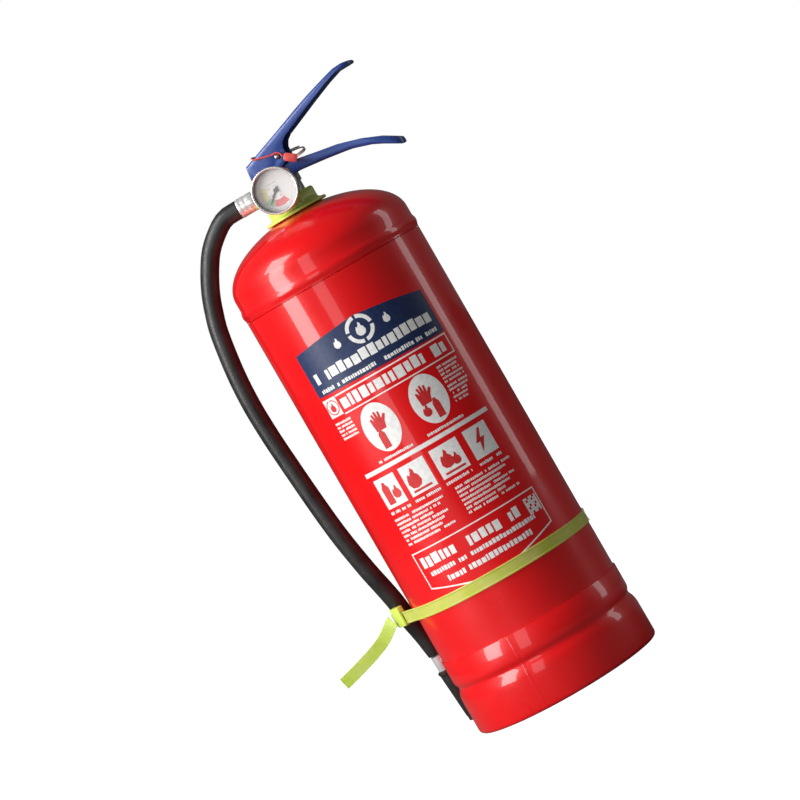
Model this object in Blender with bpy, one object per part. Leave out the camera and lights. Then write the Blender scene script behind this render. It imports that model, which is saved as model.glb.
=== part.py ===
"""Portable stored-pressure powder fire extinguisher, 5 kg class, as separate pieces.

Frame: origin on the floor under the middle of the object, on the cylinder's axis; +Z up, +X along the
squeeze lever, -X towards the hose outlet, -Y towards the front of the pressure gauge. Metres.
"""

import math

import bmesh
import bpy
from mathutils import Matrix, Vector

MM = 0.001

# ---------------------------------------------------------------- driving dimensions
GAP = 0.3 * MM  # between pieces that touch
RUNNING_GAP = 0.3 * MM  # around shafts that turn or slide

BODY_RADIUS = 76 * MM
BODY_WALL = 1.5 * MM
SEAM_HEIGHT = 364 * MM  # where the dome is lapped on the wall
DOME_SKIRT = 18.5 * MM  # straight part of the dome above the seam
DOME_TANGENT = SEAM_HEIGHT + DOME_SKIRT
DOME_RISE = 38 * MM
SEAM_BEAD = 0.7 * MM
SEAM_BEAD_HEIGHT = 7.5 * MM

RING_WALL = 0.9 * MM
RING_GROOVE_HEIGHT = 39 * MM
RING_GROOVE_HALF = 5 * MM
RING_GROOVE_DEPTH = BODY_WALL + GAP  # its inside just clears the dished bottom
RING_FLARE = 1.1 * MM
RING_FOOT = 5 * MM  # width of the rolled-in foot
RING_FOOT_BEND = 3 * MM
WALL_BOTTOM = RING_GROOVE_HEIGHT + 8 * MM
RING_TOP = WALL_BOTTOM + 16 * MM  # the ring laps over the wall
DISH_RIM = WALL_BOTTOM + 11 * MM  # the dish laps inside the wall
DISH_STRAIGHT = 28 * MM
DISH_DEPTH = 22 * MM
POWDER_HEADROOM = 77 * MM  # left empty under the seam for the gas

SHANK_RADIUS = 13.8 * MM
BOSS_WALL = 6 * MM
BOSS_RADIUS = SHANK_RADIUS + RUNNING_GAP + BOSS_WALL
BOSS_LENGTH = 18 * MM
SEAL_SECTION = 1.3 * MM
COLLAR_FLATS = 36.8 * MM
COLLAR_FLANGE_RADIUS = 25.9 * MM
COLLAR_FLANGE = 2.5 * MM
COLLAR_HEIGHT = 11.1 * MM
COLLAR_CHAMFER = 2.6 * MM


def dome_height(radius):
    """Height of the dome's outer face at a radius."""
    share = radius / BODY_RADIUS
    return DOME_TANGENT + DOME_RISE * math.sqrt(1 - share * share)


# The head stands on the collar and the collar on the dome, so heights in the head start there.
BOSS_TOP = dome_height(BOSS_RADIUS + GAP)
COLLAR_LOW = BOSS_TOP + GAP
COLLAR_TOP = COLLAR_LOW + COLLAR_FLANGE + COLLAR_HEIGHT
VALVE_LOW = COLLAR_TOP + GAP

VALVE_RADIUS = 15 * MM
VALVE_ROUND_HEIGHT = 10.4 * MM
VALVE_BLOCK_WIDTH = 19 * MM
VALVE_BLOCK_REAR = 17 * MM
VALVE_BLOCK_FRONT = 15 * MM
VALVE_BLOCK_HEIGHT = 13.2 * MM
VALVE_STEP = 3 * MM  # how far the block's front is lower
BLOCK_LOW = VALVE_LOW + VALVE_ROUND_HEIGHT
BLOCK_TOP = BLOCK_LOW + VALVE_BLOCK_HEIGHT
OUTLET_HEIGHT = VALVE_LOW + 11.1 * MM
OUTLET_RADIUS = 9 * MM
OUTLET_REACH = VALVE_RADIUS + 6 * MM
OUTLET_BORE = 3.5 * MM
OUTLET_SOCKET_DEPTH = 6.4 * MM
NIPPLE_RADIUS = 4.6 * MM
NIPPLE_BORE = 3 * MM
GAUGE_BOSS_RADIUS = 5 * MM
SEAT_HEIGHT = VALVE_LOW - 15.3 * MM
SEAT_LENGTH = 6 * MM
SHANK_BOTTOM = VALVE_LOW - 41.3 * MM

STEM_RADIUS = 3 * MM
STEM_CONTACT_GAP = 0.5 * MM  # under the sloping lever
STEM_SEAL_SECTION = 0.9 * MM
STEM_SEAL_RADIUS = STEM_RADIUS + STEM_SEAL_SECTION + GAP
SEAL_ROOM = STEM_SEAL_RADIUS + STEM_SEAL_SECTION + GAP
CHAMBER_RADIUS = SEAL_ROOM + 0.6 * MM
SEAT_BORE = STEM_RADIUS + 1.5 * MM
POPPET_RADIUS = SEAT_BORE + 2.3 * MM
SPRING_ROOM_RADIUS = POPPET_RADIUS + 1.7 * MM
POPPET_THICKNESS = 3 * MM
POPPET_SEAL = 2.1 * MM
SPRING_WIRE = 0.7 * MM
SPRING_RADIUS = POPPET_RADIUS - SPRING_WIRE - 0.1 * MM
SPRING_TURNS = 4
TUBE_RADIUS = 7 * MM
TUBE_WALL = 1.4 * MM
TUBE_FOOT_GAP = 12 * MM

SHEET = 1.8 * MM  # sheet metal of lever and handle
LEVER_SIDE_GAP = 1.1 * MM
HANDLE_WIDTH = VALVE_BLOCK_WIDTH + 2 * (GAP + SHEET)  # it straddles the valve's block
LEVER_WIDTH = HANDLE_WIDTH + 2 * (LEVER_SIDE_GAP + SHEET)  # and the lever straddles the handle
PIVOT = Vector((-11 * MM, 0, VALVE_LOW + 18.2 * MM))
PIVOT_RADIUS = 2.5 * MM
RIVET_HEAD = 4 * MM
RIVET_HEAD_HEIGHT = 1.3 * MM
LEVER_CROWN = [  # the lever's top edge, in millimetres, heights above the pivot
    (-14.9, 17.4), (8.4, 25.4), (23.9, 31.0), (39.5, 36.7), (55.1, 41.9), (70.6, 46.4), (81.0, 49.1),
    (88.0, 49.5),
]
KEEL_HEIGHT = -4.6  # the handle's lower edge beside the valve, in the same measure
LEVER_SLOPE = math.cos(math.radians(19))
LEVER_TIP = (96 * MM, 9 * MM)  # reach and corner radius
HANDLE_TIP = (101.5 * MM, 10 * MM)
HANDLE_RIVET = PIVOT + Vector((22 * MM, 0, -1.2 * MM))
HANDLE_RIVET_RADIUS = 2 * MM
HANDLE_RIVET_HEAD = 3.2 * MM
HANDLE_RIVET_HEAD_HEIGHT = 0.6 * MM
LEVER_TRAVEL = math.radians(16)

PIN = PIVOT + Vector((21.7 * MM, 0, 12.5 * MM))
PIN_RADIUS = 1.9 * MM
PIN_SLOT_GAP = 0.6 * MM
PIN_END = LEVER_WIDTH / 2 + 3.5 * MM  # how far the pin stands out in front of the middle plane
PIN_SHOULDER = LEVER_WIDTH / 2 + 2.5 * MM
PIN_SHOULDER_RIM = 1.2 * MM
PIN_SHOULDER_LENGTH = 1.4 * MM
EYE_CENTRE = PIN_SHOULDER + 4.5 * MM
EYE_RADIUS = 3.6 * MM
EYE_HOLE = 1.7 * MM
EYE_THICKNESS = 2.4 * MM
PULL_RING_RADIUS = 13.7 * MM
PULL_RING_WIRE = 1.25 * MM
PULL_RING_DROOP = math.radians(8)

THREAD_WIDTH = 1.3 * MM
TAG_LENGTH = 10.6 * MM
TAG_WIDTH = 6.4 * MM
TAG_THICKNESS = 1.6 * MM
TAG_TILT = math.radians(37)

GAUGE_HEIGHT = PIVOT.z + KEEL_HEIGHT * MM - GAP - GAUGE_BOSS_RADIUS  # its boss passes under the handle
GAUGE_BOSS_REACH = LEVER_WIDTH / 2 + 4 * MM
# The case clears the lever's rivet and the collar's flange.
GAUGE_BACK = max(GAUGE_BOSS_REACH + 5.5 * MM, COLLAR_FLANGE_RADIUS + GAP)
GAUGE_RADIUS = 18.5 * MM
BEZEL_SHEET = 0.4 * MM
GAUGE_CASE_RADIUS = GAUGE_RADIUS - BEZEL_SHEET - GAP
GAUGE_CASE_WALL = 1 * MM
GAUGE_CASE_DEPTH = 11 * MM
GAUGE_STEM_RADIUS = 3.2 * MM
DIAL_THICKNESS = 0.6 * MM
LENS_THICKNESS = 1.4 * MM
BEZEL_LIP = 1.2 * MM
BEZEL_WALL = 2.6 * MM
BEZEL_DEPTH = 4.4 * MM
NEEDLE_LENGTH = GAUGE_CASE_RADIUS - 6.3 * MM
DIAL_SINK = 3.6 * MM  # the dial's back under the case's rim
BOURDON_RADIUS = GAUGE_CASE_RADIUS - 8.3 * MM
BOURDON_TUBE = 1.2 * MM
ARBOR_RADIUS = 0.9 * MM
NEEDLE_ANGLE = math.radians(222)  # rest reading, from +X towards +Z as seen from the front

HOSE_RADIUS = 7.5 * MM
FERRULE_RADIUS = HOSE_RADIUS + 0.3 * MM
FERRULE_LENGTH = 15 * MM
HOSE_END_GAP = 0.5 * MM
NOZZLE_TUBE_RADIUS = 5.2 * MM
NOZZLE_TUBE_LENGTH = 13.5 * MM
NOZZLE_TUBE_WALL = 1.2 * MM
NOZZLE_TOP_RADIUS = 6.6 * MM
NOZZLE_TIP_RADIUS = 4.6 * MM
NOZZLE_LENGTH = 45 * MM
NOZZLE_BORE = 2.6 * MM
NOZZLE_AXIS = Vector((0.3, 0.9, -15.5)).normalized()

STRAP_WIDTH = 10 * MM
STRAP_THICKNESS = 1.2 * MM
STRAP_HEIGHT = 107 * MM
STRAP_HOSE_ROOM = HOSE_RADIUS + 1.8 * MM  # inner radius of the loop where it goes round the hose
BUCKLE_LENGTH = 15 * MM
BUCKLE_HEIGHT = 16 * MM
BUCKLE_WALL = 1.8 * MM
BUCKLE_RAISE = 2 * MM
BUCKLE_SETBACK = 6.6 * MM  # from where the strap starts round the hose

# The hose leaves the outlet level, falls beside the body and ends at the nozzle's tube.
HOSE_ROUTE = [
    (-38.4, 0.0, 444.4), (-43.0, 0.0, 444.4), (-50.0, 0.0, 443.9), (-58.5, 0.0, 440.0),
    (-72.4, 0.0, 428.6), (-82.5, 0.0, 414.4), (-90.7, 0.0, 398.9), (-96.4, 0.0, 383.5),
    (-100.6, 0.0, 368.0), (-105.1, 0.0, 337.0), (-106.8, 0.0, 310.0), (-106.4, 0.0, 285.0),
    (-104.9, 0.0, 260.0), (-101.3, 0.2, 214.0), (-98.0, 0.8, 183.0), (-93.2, 2.8, 152.0),
    (-90.2, 5.0, 136.0), (-87.6, 7.8, 120.0), (-86.8, 11.0, 107.0), (-84.7, 17.0, 90.0),
    (-83.4, 19.9, 78.5), (-83.2, 20.6, 67.5),
]
# The strap's loose tail leaves the buckle and droops outwards.
TAIL_ROUTE = [
    (-95.0, -4.4, 108.6), (-96.8, -3.4, 107.6), (-99.4, -2.6, 105.6), (-103.8, -2.4, 102.2),
    (-110.0, -2.6, 98.2), (-120.0, -4.4, 94.0), (-131.0, -6.3, 90.4), (-142.0, -8.2, 87.2),
    (-152.0, -10.0, 84.6),
]
THREAD_ROUTE = [
    (14.9, -16.3, 461.9), (13.8, -16.1, 465.2), (10.9, -16.0, 467.2), (7.9, -15.9, 467.0),
    (1.0, -15.6, 468.8), (-6.0, -15.5, 470.6), (-7.4, -14.6, 472.4), (-7.6, -11.0, 472.8),
    (-7.8, 0.0, 472.8), (-7.6, 11.0, 472.8), (-7.4, 14.6, 472.4), (-6.0, 15.5, 470.6),
    (1.0, 15.6, 468.8), (8.0, 15.7, 467.1), (11.4, 15.7, 467.1),
]

ROUND_STEPS = 48
SMALL_STEPS = 24
FINE_STEPS = 16


# ---------------------------------------------------------------- materials and helpers
def finish(name, colour, roughness, metallic=0.0, alpha=1.0):
    """A Principled material."""
    made = bpy.data.materials.new(name)
    made.use_nodes = True
    shader = made.node_tree.nodes["Principled BSDF"]
    shader.inputs["Base Color"].default_value = (*colour, 1)
    shader.inputs["Roughness"].default_value = roughness
    shader.inputs["Metallic"].default_value = metallic
    shader.inputs["Alpha"].default_value = alpha
    return made


def piece_from(bm, name, material, matrix=None, smooth=True):
    """Turns a bmesh into a named object with its faces pointing out."""
    bmesh.ops.remove_doubles(bm, verts=bm.verts, dist=1e-7)
    bmesh.ops.recalc_face_normals(bm, faces=bm.faces)
    mesh = bpy.data.meshes.new(name)
    bm.to_mesh(mesh)
    bm.free()
    mesh.materials.append(material)
    if smooth:
        mesh.shade_smooth()
        mesh.set_sharp_from_angle(angle=math.radians(35))
    piece = bpy.data.objects.new(name, mesh)
    bpy.context.scene.collection.objects.link(piece)
    if matrix is not None:
        piece.matrix_world = matrix
    return piece


def turned_mesh(outline, steps, closed=True):
    """Spins an outline of (radius, height) about Z. An open outline starts and ends on the axis."""
    bm = bmesh.new()
    points = [bm.verts.new((radius, 0, height)) for radius, height in outline]
    ends = points[1:] + points[:1] if closed else points[1:]
    edges = [bm.edges.new(pair) for pair in zip(points, ends)]
    bmesh.ops.spin(bm, geom=points + edges, axis=(0, 0, 1), cent=(0, 0, 0),
                   angle=2 * math.pi, steps=steps, use_merge=True)
    return bm


def turned(name, outline, material, steps=SMALL_STEPS, closed=True, matrix=None):
    """A turned piece."""
    return piece_from(turned_mesh(outline, steps, closed), name, material, matrix)


def arc(centre, radii, start, end, steps):
    """Points of an elliptic arc in the outline's plane, angles in degrees."""
    for step in range(steps + 1):
        angle = math.radians(start + (end - start) * step / steps)
        yield (centre[0] + radii[0] * math.cos(angle), centre[1] + radii[1] * math.sin(angle))


def tube_outline(outer, inner, low, high):
    """A plain sleeve."""
    return [(outer, high), (outer, low), (inner, low), (inner, high)]


def facing(direction, at=(0, 0, 0)):
    """A placing whose local Z points in a direction."""
    turn = Vector((0, 0, 1)).rotation_difference(Vector(direction)).to_matrix().to_4x4()
    return Matrix.Translation(Vector(at)) @ turn


def plate_mesh(outline, low, high):
    """An outline of (x, z) points, as thick as from y low to y high."""
    bm = bmesh.new()
    face = bm.faces.new([bm.verts.new((x, low, z)) for x, z in outline])
    grown = bmesh.ops.extrude_face_region(bm, geom=[face])["geom"]
    moved = [item for item in grown if isinstance(item, bmesh.types.BMVert)]
    bmesh.ops.translate(bm, verts=moved, vec=(0, high - low, 0))
    return bm


def cutter(bm, name, matrix=None):
    """A helper for a Boolean, left out of the model."""
    helper = piece_from(bm, name, STEEL, matrix, smooth=False)
    helper.hide_render = True
    helper.display_type = "WIRE"
    return helper


def rod_cutter(name, radius, start, end, steps=SMALL_STEPS):
    """A round helper between two points."""
    length = (Vector(end) - Vector(start)).length
    bm = turned_mesh([(0, length), (radius, length), (radius, 0), (0, 0)], steps, closed=False)
    return cutter(bm, name, facing(Vector(end) - Vector(start), start))


def combine(piece, helpers, operation="DIFFERENCE"):
    """Booleans a piece with its helpers."""
    for helper in helpers:
        modifier = piece.modifiers.new(helper.name, "BOOLEAN")
        modifier.operation = operation
        modifier.object = helper
        modifier.solver = "EXACT"
    return piece


def through_curve(route, step):
    """Points a step apart on the smooth curve through a route given in millimetres."""
    knots = [Vector(point) * MM for point in route]
    knots = [2 * knots[0] - knots[1], *knots, 2 * knots[-1] - knots[-2]]
    fine = []
    for before, start, end, after in zip(knots, knots[1:], knots[2:], knots[3:]):
        for count in range(12):
            t = count / 12
            fine.append(0.5 * (2 * start + (end - before) * t
                               + (2 * before - 5 * start + 4 * end - after) * t * t
                               + (3 * start - before - 3 * end + after) * t ** 3))
    fine.append(knots[-2])
    along = [0.0]
    for start, end in zip(fine, fine[1:]):
        along.append(along[-1] + (end - start).length)
    count = max(2, round(along[-1] / step))
    spaced = []
    for number in range(count + 1):
        wanted = along[-1] * number / count
        later = next((i for i, reached in enumerate(along) if reached >= wanted), len(along) - 1)
        later = max(later, 1)
        share = (wanted - along[later - 1]) / (along[later] - along[later - 1])
        spaced.append(fine[later - 1].lerp(fine[later], min(share, 1)))
    return spaced


def cord_piece(name, points, radius, material, resolution):
    """A round tube along points, with closed ends."""
    data = bpy.data.curves.new(name, "CURVE")
    data.dimensions = "3D"
    data.bevel_depth = radius
    data.bevel_resolution = resolution
    data.use_fill_caps = True
    data.materials.append(material)
    spline = data.splines.new("POLY")
    spline.points.add(len(points) - 1)
    for knot, point in zip(spline.points, points):
        knot.co = (*point, 1)
    piece = bpy.data.objects.new(name, data)
    bpy.context.scene.collection.objects.link(piece)
    return piece


def washer_outline(outer, inner, low, thickness):
    """A flat ring that starts at a height."""
    return tube_outline(outer, inner, low, low + thickness)


def ring_section(radius, section, height, steps=10):
    """The outline of an O-ring."""
    return list(arc((radius, height), (section, section), 0, -360, steps))[:-1]


for old in list(bpy.data.objects):
    bpy.data.objects.remove(old, do_unlink=True)

RED = finish("red_enamel", (0.72, 0.012, 0.016), 0.22)
STEEL = finish("bright_steel", (0.62, 0.62, 0.63), 0.3, 1.0)
CHROME = finish("chromed_steel", (0.82, 0.82, 0.83), 0.12, 1.0)
BRASS = finish("brass", (0.72, 0.52, 0.24), 0.35, 1.0)
ALLOY = finish("cast_alloy", (0.55, 0.55, 0.57), 0.42, 1.0)
BLUE = finish("blue_powder_coat", (0.035, 0.075, 0.36), 0.45)
LIME = finish("lime_plastic", (0.62, 0.80, 0.08), 0.4)
RUBBER = finish("black_rubber", (0.015, 0.015, 0.016), 0.55)
BLACK = finish("black_plastic", (0.018, 0.016, 0.016), 0.4)
WHITE = finish("white_print", (0.85, 0.85, 0.83), 0.5)
SEAL_RED = finish("seal_plastic", (0.78, 0.06, 0.05), 0.4)
CLEAR = finish("clear_lens", (0.95, 0.96, 0.97), 0.05, 0.0, 0.25)
POWDER = finish("dry_powder", (0.80, 0.62, 0.66), 0.95)


# ---------------------------------------------------------------- pressure vessel
def build_vessel():
    """Rolled wall, pressed dome, dished bottom, base ring and the boss welded in the dome."""
    inner = BODY_RADIUS - BODY_WALL
    turned("cylinder_wall", tube_outline(BODY_RADIUS, inner, WALL_BOTTOM, SEAM_HEIGHT), RED, ROUND_STEPS)

    hole = BOSS_RADIUS + GAP
    hole_angle = math.degrees(math.acos(hole / BODY_RADIUS))
    inner_hole_angle = math.degrees(math.acos(hole / inner))
    low = SEAM_HEIGHT + GAP
    bead = low + 2 * MM
    outside = list(arc((0, DOME_TANGENT), (BODY_RADIUS, DOME_RISE), hole_angle, 0, 7))
    skirt = [
        (BODY_RADIUS, bead + SEAM_BEAD_HEIGHT), (BODY_RADIUS + SEAM_BEAD, bead + 0.7 * SEAM_BEAD_HEIGHT),
        (BODY_RADIUS + SEAM_BEAD, bead + 0.3 * SEAM_BEAD_HEIGHT), (BODY_RADIUS, bead),
        (BODY_RADIUS, low), (inner, low),
    ]
    inside = list(arc((0, DOME_TANGENT), (inner, DOME_RISE - BODY_WALL), 0, inner_hole_angle, 5))
    turned("top_dome", outside + skirt + inside, RED, ROUND_STEPS)

    crown = BODY_RADIUS - BODY_WALL - GAP
    crown_inner = crown - BODY_WALL
    dish = [*arc((0, DISH_STRAIGHT), (crown_inner, DISH_DEPTH - BODY_WALL), -90, 0, 6),
            (crown_inner, DISH_RIM), (crown, DISH_RIM),
            *arc((0, DISH_STRAIGHT), (crown, DISH_DEPTH), 0, -90, 6)]
    turned("bottom_dish", dish, RED, ROUND_STEPS, closed=False)

    ring_inner = BODY_RADIUS + GAP
    ring_outer = ring_inner + RING_WALL
    groove = ring_outer - RING_GROOVE_DEPTH
    foot = ring_outer + RING_FLARE
    half = RING_GROOVE_HALF
    bend = RING_FOOT_BEND
    outer_face = [
        (ring_outer, RING_TOP), (ring_outer, RING_GROOVE_HEIGHT + half),
        (groove + 0.5 * MM, RING_GROOVE_HEIGHT + 0.4 * half), (groove, RING_GROOVE_HEIGHT),
        (groove + 0.6 * MM, RING_GROOVE_HEIGHT - 0.4 * half),
        (foot - 0.3 * MM, RING_GROOVE_HEIGHT - 1.2 * half),
        (foot, RING_GROOVE_HEIGHT - 2 * half), (foot, bend),
        *arc((foot - bend, bend), (bend, bend), -30, -90, 2),
    ]
    inner_face = [
        (foot - RING_FOOT, 0), (foot - RING_FOOT, RING_WALL), (foot - bend, RING_WALL),
        (foot - RING_WALL, bend), (foot - RING_WALL, RING_GROOVE_HEIGHT - 2 * half),
        (foot - RING_WALL - 0.3 * MM, RING_GROOVE_HEIGHT - 1.2 * half),
        (groove - RING_WALL, RING_GROOVE_HEIGHT - 0.3 * half),
        (groove - RING_WALL, RING_GROOVE_HEIGHT + 0.3 * half),
        (ring_inner, RING_GROOVE_HEIGHT + half), (ring_inner, RING_TOP),
    ]
    turned("base_ring", outer_face + inner_face, RED, ROUND_STEPS)

    seat = SHANK_RADIUS + RUNNING_GAP + 2 * SEAL_SECTION + GAP
    boss = [
        (BOSS_RADIUS, BOSS_TOP), (BOSS_RADIUS, BOSS_TOP - BOSS_LENGTH),
        (SHANK_RADIUS + RUNNING_GAP, BOSS_TOP - BOSS_LENGTH),
        (SHANK_RADIUS + RUNNING_GAP, BOSS_TOP - 2 * SEAL_SECTION - 2 * GAP),
        (seat, BOSS_TOP - 2 * SEAL_SECTION - 2 * GAP), (seat, BOSS_TOP),
    ]
    turned("neck_boss", boss, STEEL, 32)
    seal_radius = SHANK_RADIUS + RUNNING_GAP + SEAL_SECTION + 0.1 * MM
    seal_height = BOSS_TOP - SEAL_SECTION - GAP
    turned("neck_seal", ring_section(seal_radius, SEAL_SECTION - 0.1 * MM, seal_height, 8), RUBBER, 32)


def build_powder():
    """The extinguishing powder, settled round the dip tube."""
    outer = BODY_RADIUS - BODY_WALL - 2 * GAP
    low = outer - BODY_WALL - GAP
    bore = TUBE_RADIUS + 2 * GAP
    top = SEAM_HEIGHT - POWDER_HEADROOM
    outline = [
        (bore, top), (outer, top), (outer, DISH_RIM + GAP), (low, DISH_RIM + GAP),
        *arc((0, DISH_STRAIGHT), (low, DISH_DEPTH - BODY_WALL - 2 * GAP), 0, -81, 6),
    ]
    outline.append((bore, outline[-1][1]))
    turned("powder_charge", outline, POWDER, 32)


# ---------------------------------------------------------------- neck and valve
def build_collar():
    """Moulded hexagonal collar with a round flange, on the neck under the valve."""
    low, top = COLLAR_LOW, COLLAR_TOP
    flange_top = low + COLLAR_FLANGE
    corner = COLLAR_FLATS / 2 / math.cos(math.pi / 6)
    hexagon = bmesh.new()
    bmesh.ops.create_cone(hexagon, cap_ends=True, segments=6, radius1=corner, radius2=corner,
                          depth=COLLAR_HEIGHT + COLLAR_FLANGE,
                          matrix=Matrix.Translation((0, 0, (low + top) / 2)))
    sixth = Matrix.Rotation(math.pi / 6, 3, "Z")
    bmesh.ops.rotate(hexagon, verts=hexagon.verts, cent=(0, 0, 0), matrix=sixth)
    sides = [e for e in hexagon.edges if abs(e.verts[0].co.z - e.verts[1].co.z) > COLLAR_HEIGHT]
    bmesh.ops.bevel(hexagon, geom=sides, offset=2 * MM, segments=3, affect="EDGES", profile=0.5)
    collar = piece_from(hexagon, "neck_collar", LIME)
    crown = turned_mesh([
        (0, top), (corner - COLLAR_CHAMFER, top), (corner + 0.5 * MM, top - COLLAR_CHAMFER),
        (corner + 10 * MM, low), (0, low)], ROUND_STEPS, closed=False)
    combine(collar, [cutter(crown, "collar_crown")], "INTERSECT")
    flange = turned_mesh([
        (0, flange_top), (COLLAR_FLANGE_RADIUS - 1.2 * MM, flange_top),
        (COLLAR_FLANGE_RADIUS, flange_top - 1.2 * MM),
        (COLLAR_FLANGE_RADIUS, low), (0, low)], ROUND_STEPS, closed=False)
    combine(collar, [cutter(flange, "collar_flange")], "UNION")
    bore = rod_cutter("collar_bore", SHANK_RADIUS + RUNNING_GAP, (0, 0, low - MM), (0, 0, top + MM), 32)
    combine(collar, [bore])


def build_valve():
    """Valve body: threaded shank, round barrel, block for the levers, outlet and gauge port."""
    top = BLOCK_TOP
    shank = turned_mesh([
        (0, BLOCK_LOW + MM), (VALVE_RADIUS - MM, BLOCK_LOW + MM), (VALVE_RADIUS, BLOCK_LOW),
        (VALVE_RADIUS, VALVE_LOW), (SHANK_RADIUS, VALVE_LOW), (SHANK_RADIUS, SHANK_BOTTOM),
        (0, SHANK_BOTTOM)], 32, closed=False)
    body = piece_from(shank, "valve_body", ALLOY)
    block = plate_mesh([
        (-VALVE_BLOCK_REAR, BLOCK_LOW - 3 * MM), (VALVE_BLOCK_FRONT, BLOCK_LOW - 3 * MM),
        (VALVE_BLOCK_FRONT, top - VALVE_STEP), (VALVE_BLOCK_FRONT / 2, top - VALVE_STEP),
        (VALVE_BLOCK_FRONT / 2, top), (-VALVE_BLOCK_REAR, top)],
        -VALVE_BLOCK_WIDTH / 2, VALVE_BLOCK_WIDTH / 2)
    outlet_start = (-VALVE_BLOCK_FRONT / 2, 0, OUTLET_HEIGHT)
    outlet_end = (-OUTLET_REACH, 0, OUTLET_HEIGHT)
    gauge_start = (0, -VALVE_BLOCK_WIDTH / 3, GAUGE_HEIGHT)
    gauge_end = (0, -GAUGE_BOSS_REACH, GAUGE_HEIGHT)
    combine(body, [cutter(block, "valve_block"),
                   rod_cutter("outlet_boss", OUTLET_RADIUS, outlet_start, outlet_end),
                   rod_cutter("gauge_boss", GAUGE_BOSS_RADIUS, gauge_start, gauge_end)], "UNION")

    stem_guide = STEM_RADIUS + RUNNING_GAP
    chamber_top = OUTLET_HEIGHT + 3 * MM
    chamber_low = SEAT_HEIGHT + SEAT_LENGTH
    seal_top = chamber_top + 2 * (STEM_SEAL_SECTION + GAP)
    bores = turned_mesh([
        (0, top + MM), (stem_guide, top + MM), (stem_guide, seal_top), (SEAL_ROOM, seal_top),
        (SEAL_ROOM, chamber_top), (CHAMBER_RADIUS, chamber_top),
        (CHAMBER_RADIUS, chamber_low), (SEAT_BORE, chamber_low), (SEAT_BORE, SEAT_HEIGHT),
        (SPRING_ROOM_RADIUS, SEAT_HEIGHT), (SPRING_ROOM_RADIUS, SHANK_BOTTOM - MM), (0, SHANK_BOTTOM - MM)],
        SMALL_STEPS, closed=False)
    socket = NIPPLE_RADIUS + GAP
    socket_floor = OUTLET_REACH - OUTLET_SOCKET_DEPTH
    outlet_bore = turned_mesh([
        (0, OUTLET_REACH + MM), (socket, OUTLET_REACH + MM), (socket, socket_floor),
        (OUTLET_BORE, socket_floor), (OUTLET_BORE, 0), (0, 0)], SMALL_STEPS, closed=False)
    port_floor = VALVE_BLOCK_WIDTH / 2 - MM
    passage = port_floor + 0.5 * MM
    inside = cutter(bores, "valve_bores")
    combine(inside, [
        rod_cutter("gauge_passage", 1.2 * MM, (0, -passage, GAUGE_HEIGHT - MM),
                   (0, -passage, SEAT_HEIGHT - 6 * MM), 12),
        rod_cutter("gauge_port", GAUGE_STEM_RADIUS + GAP, (0, -port_floor, GAUGE_HEIGHT),
                   (0, -GAUGE_BOSS_REACH - MM, GAUGE_HEIGHT)),
        cross_hole("pivot_hole", PIVOT, PIVOT_RADIUS + RUNNING_GAP, VALVE_BLOCK_WIDTH),
        cross_hole("rivet_hole", HANDLE_RIVET, HANDLE_RIVET_RADIUS + GAP, VALVE_BLOCK_WIDTH),
        cutter(outlet_bore, "outlet_bore", facing((-1, 0, 0), (0, 0, OUTLET_HEIGHT))),
    ], "UNION")
    combine(body, [inside])
    seal_height = (chamber_top + seal_top) / 2
    turned("stem_seal", ring_section(STEM_SEAL_RADIUS, STEM_SEAL_SECTION, seal_height, 8), RUBBER, 20)


def cross_hole(name, centre, radius, width):
    """A hole along Y, right through."""
    reach = Vector((0, width, 0))
    return rod_cutter(name, radius, Vector(centre) - reach, Vector(centre) + reach)


def build_stem():
    """Poppet stem, its rubber seal, the spring, the tube's adapter and the dip tube."""
    contact = lever_underside(0) - STEM_CONTACT_GAP
    seal_top = SEAT_HEIGHT - GAP
    disc_top = seal_top - POPPET_SEAL - GAP
    disc_low = disc_top - POPPET_THICKNESS
    tip = contact - 2.2 * MM
    outline = [
        (0, contact), (STEM_RADIUS * 0.6, contact - 0.5 * MM), (STEM_RADIUS, tip), (STEM_RADIUS, disc_top),
        (POPPET_RADIUS, disc_top), (POPPET_RADIUS, disc_low), (STEM_RADIUS + MM, disc_low),
        (STEM_RADIUS + MM, disc_low - 3 * MM), (0, disc_low - 3 * MM)]
    turned("valve_stem", outline, BRASS, 20, closed=False)
    washer = washer_outline(POPPET_RADIUS - GAP, STEM_RADIUS + GAP, disc_top + GAP, POPPET_SEAL - GAP)
    turned("poppet_seal", washer, RUBBER, 20)

    adapter_top = SHANK_BOTTOM + 7 * MM
    spring_low = adapter_top + GAP + SPRING_WIRE
    spring_high = disc_low - GAP - SPRING_WIRE
    turns = SPRING_TURNS * 10
    coil = [(SPRING_RADIUS * math.cos(2 * math.pi * n / 10), SPRING_RADIUS * math.sin(2 * math.pi * n / 10),
             spring_low + (spring_high - spring_low) * n / turns) for n in range(turns + 1)]
    cord_piece("valve_spring", coil, SPRING_WIRE, STEEL, 1)

    flange = SHANK_BOTTOM - GAP
    socket = flange - 14 * MM
    outer = SHANK_RADIUS - 3 * MM
    adapter = [
        (SPRING_ROOM_RADIUS - GAP, adapter_top), (SPRING_ROOM_RADIUS - GAP, flange), (outer, flange),
        (outer, socket), (TUBE_RADIUS + GAP, socket), (TUBE_RADIUS + GAP, flange - 4 * MM),
        (TUBE_RADIUS - TUBE_WALL, flange - 4 * MM), (TUBE_RADIUS - TUBE_WALL - MM, adapter_top)]
    turned("tube_adapter", adapter, BRASS)
    tube_top = flange - 4 * MM - GAP
    tube_low = DISH_STRAIGHT - DISH_DEPTH + TUBE_FOOT_GAP
    turned("dip_tube", tube_outline(TUBE_RADIUS, TUBE_RADIUS - TUBE_WALL, tube_low, tube_top), WHITE, 20)


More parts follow.
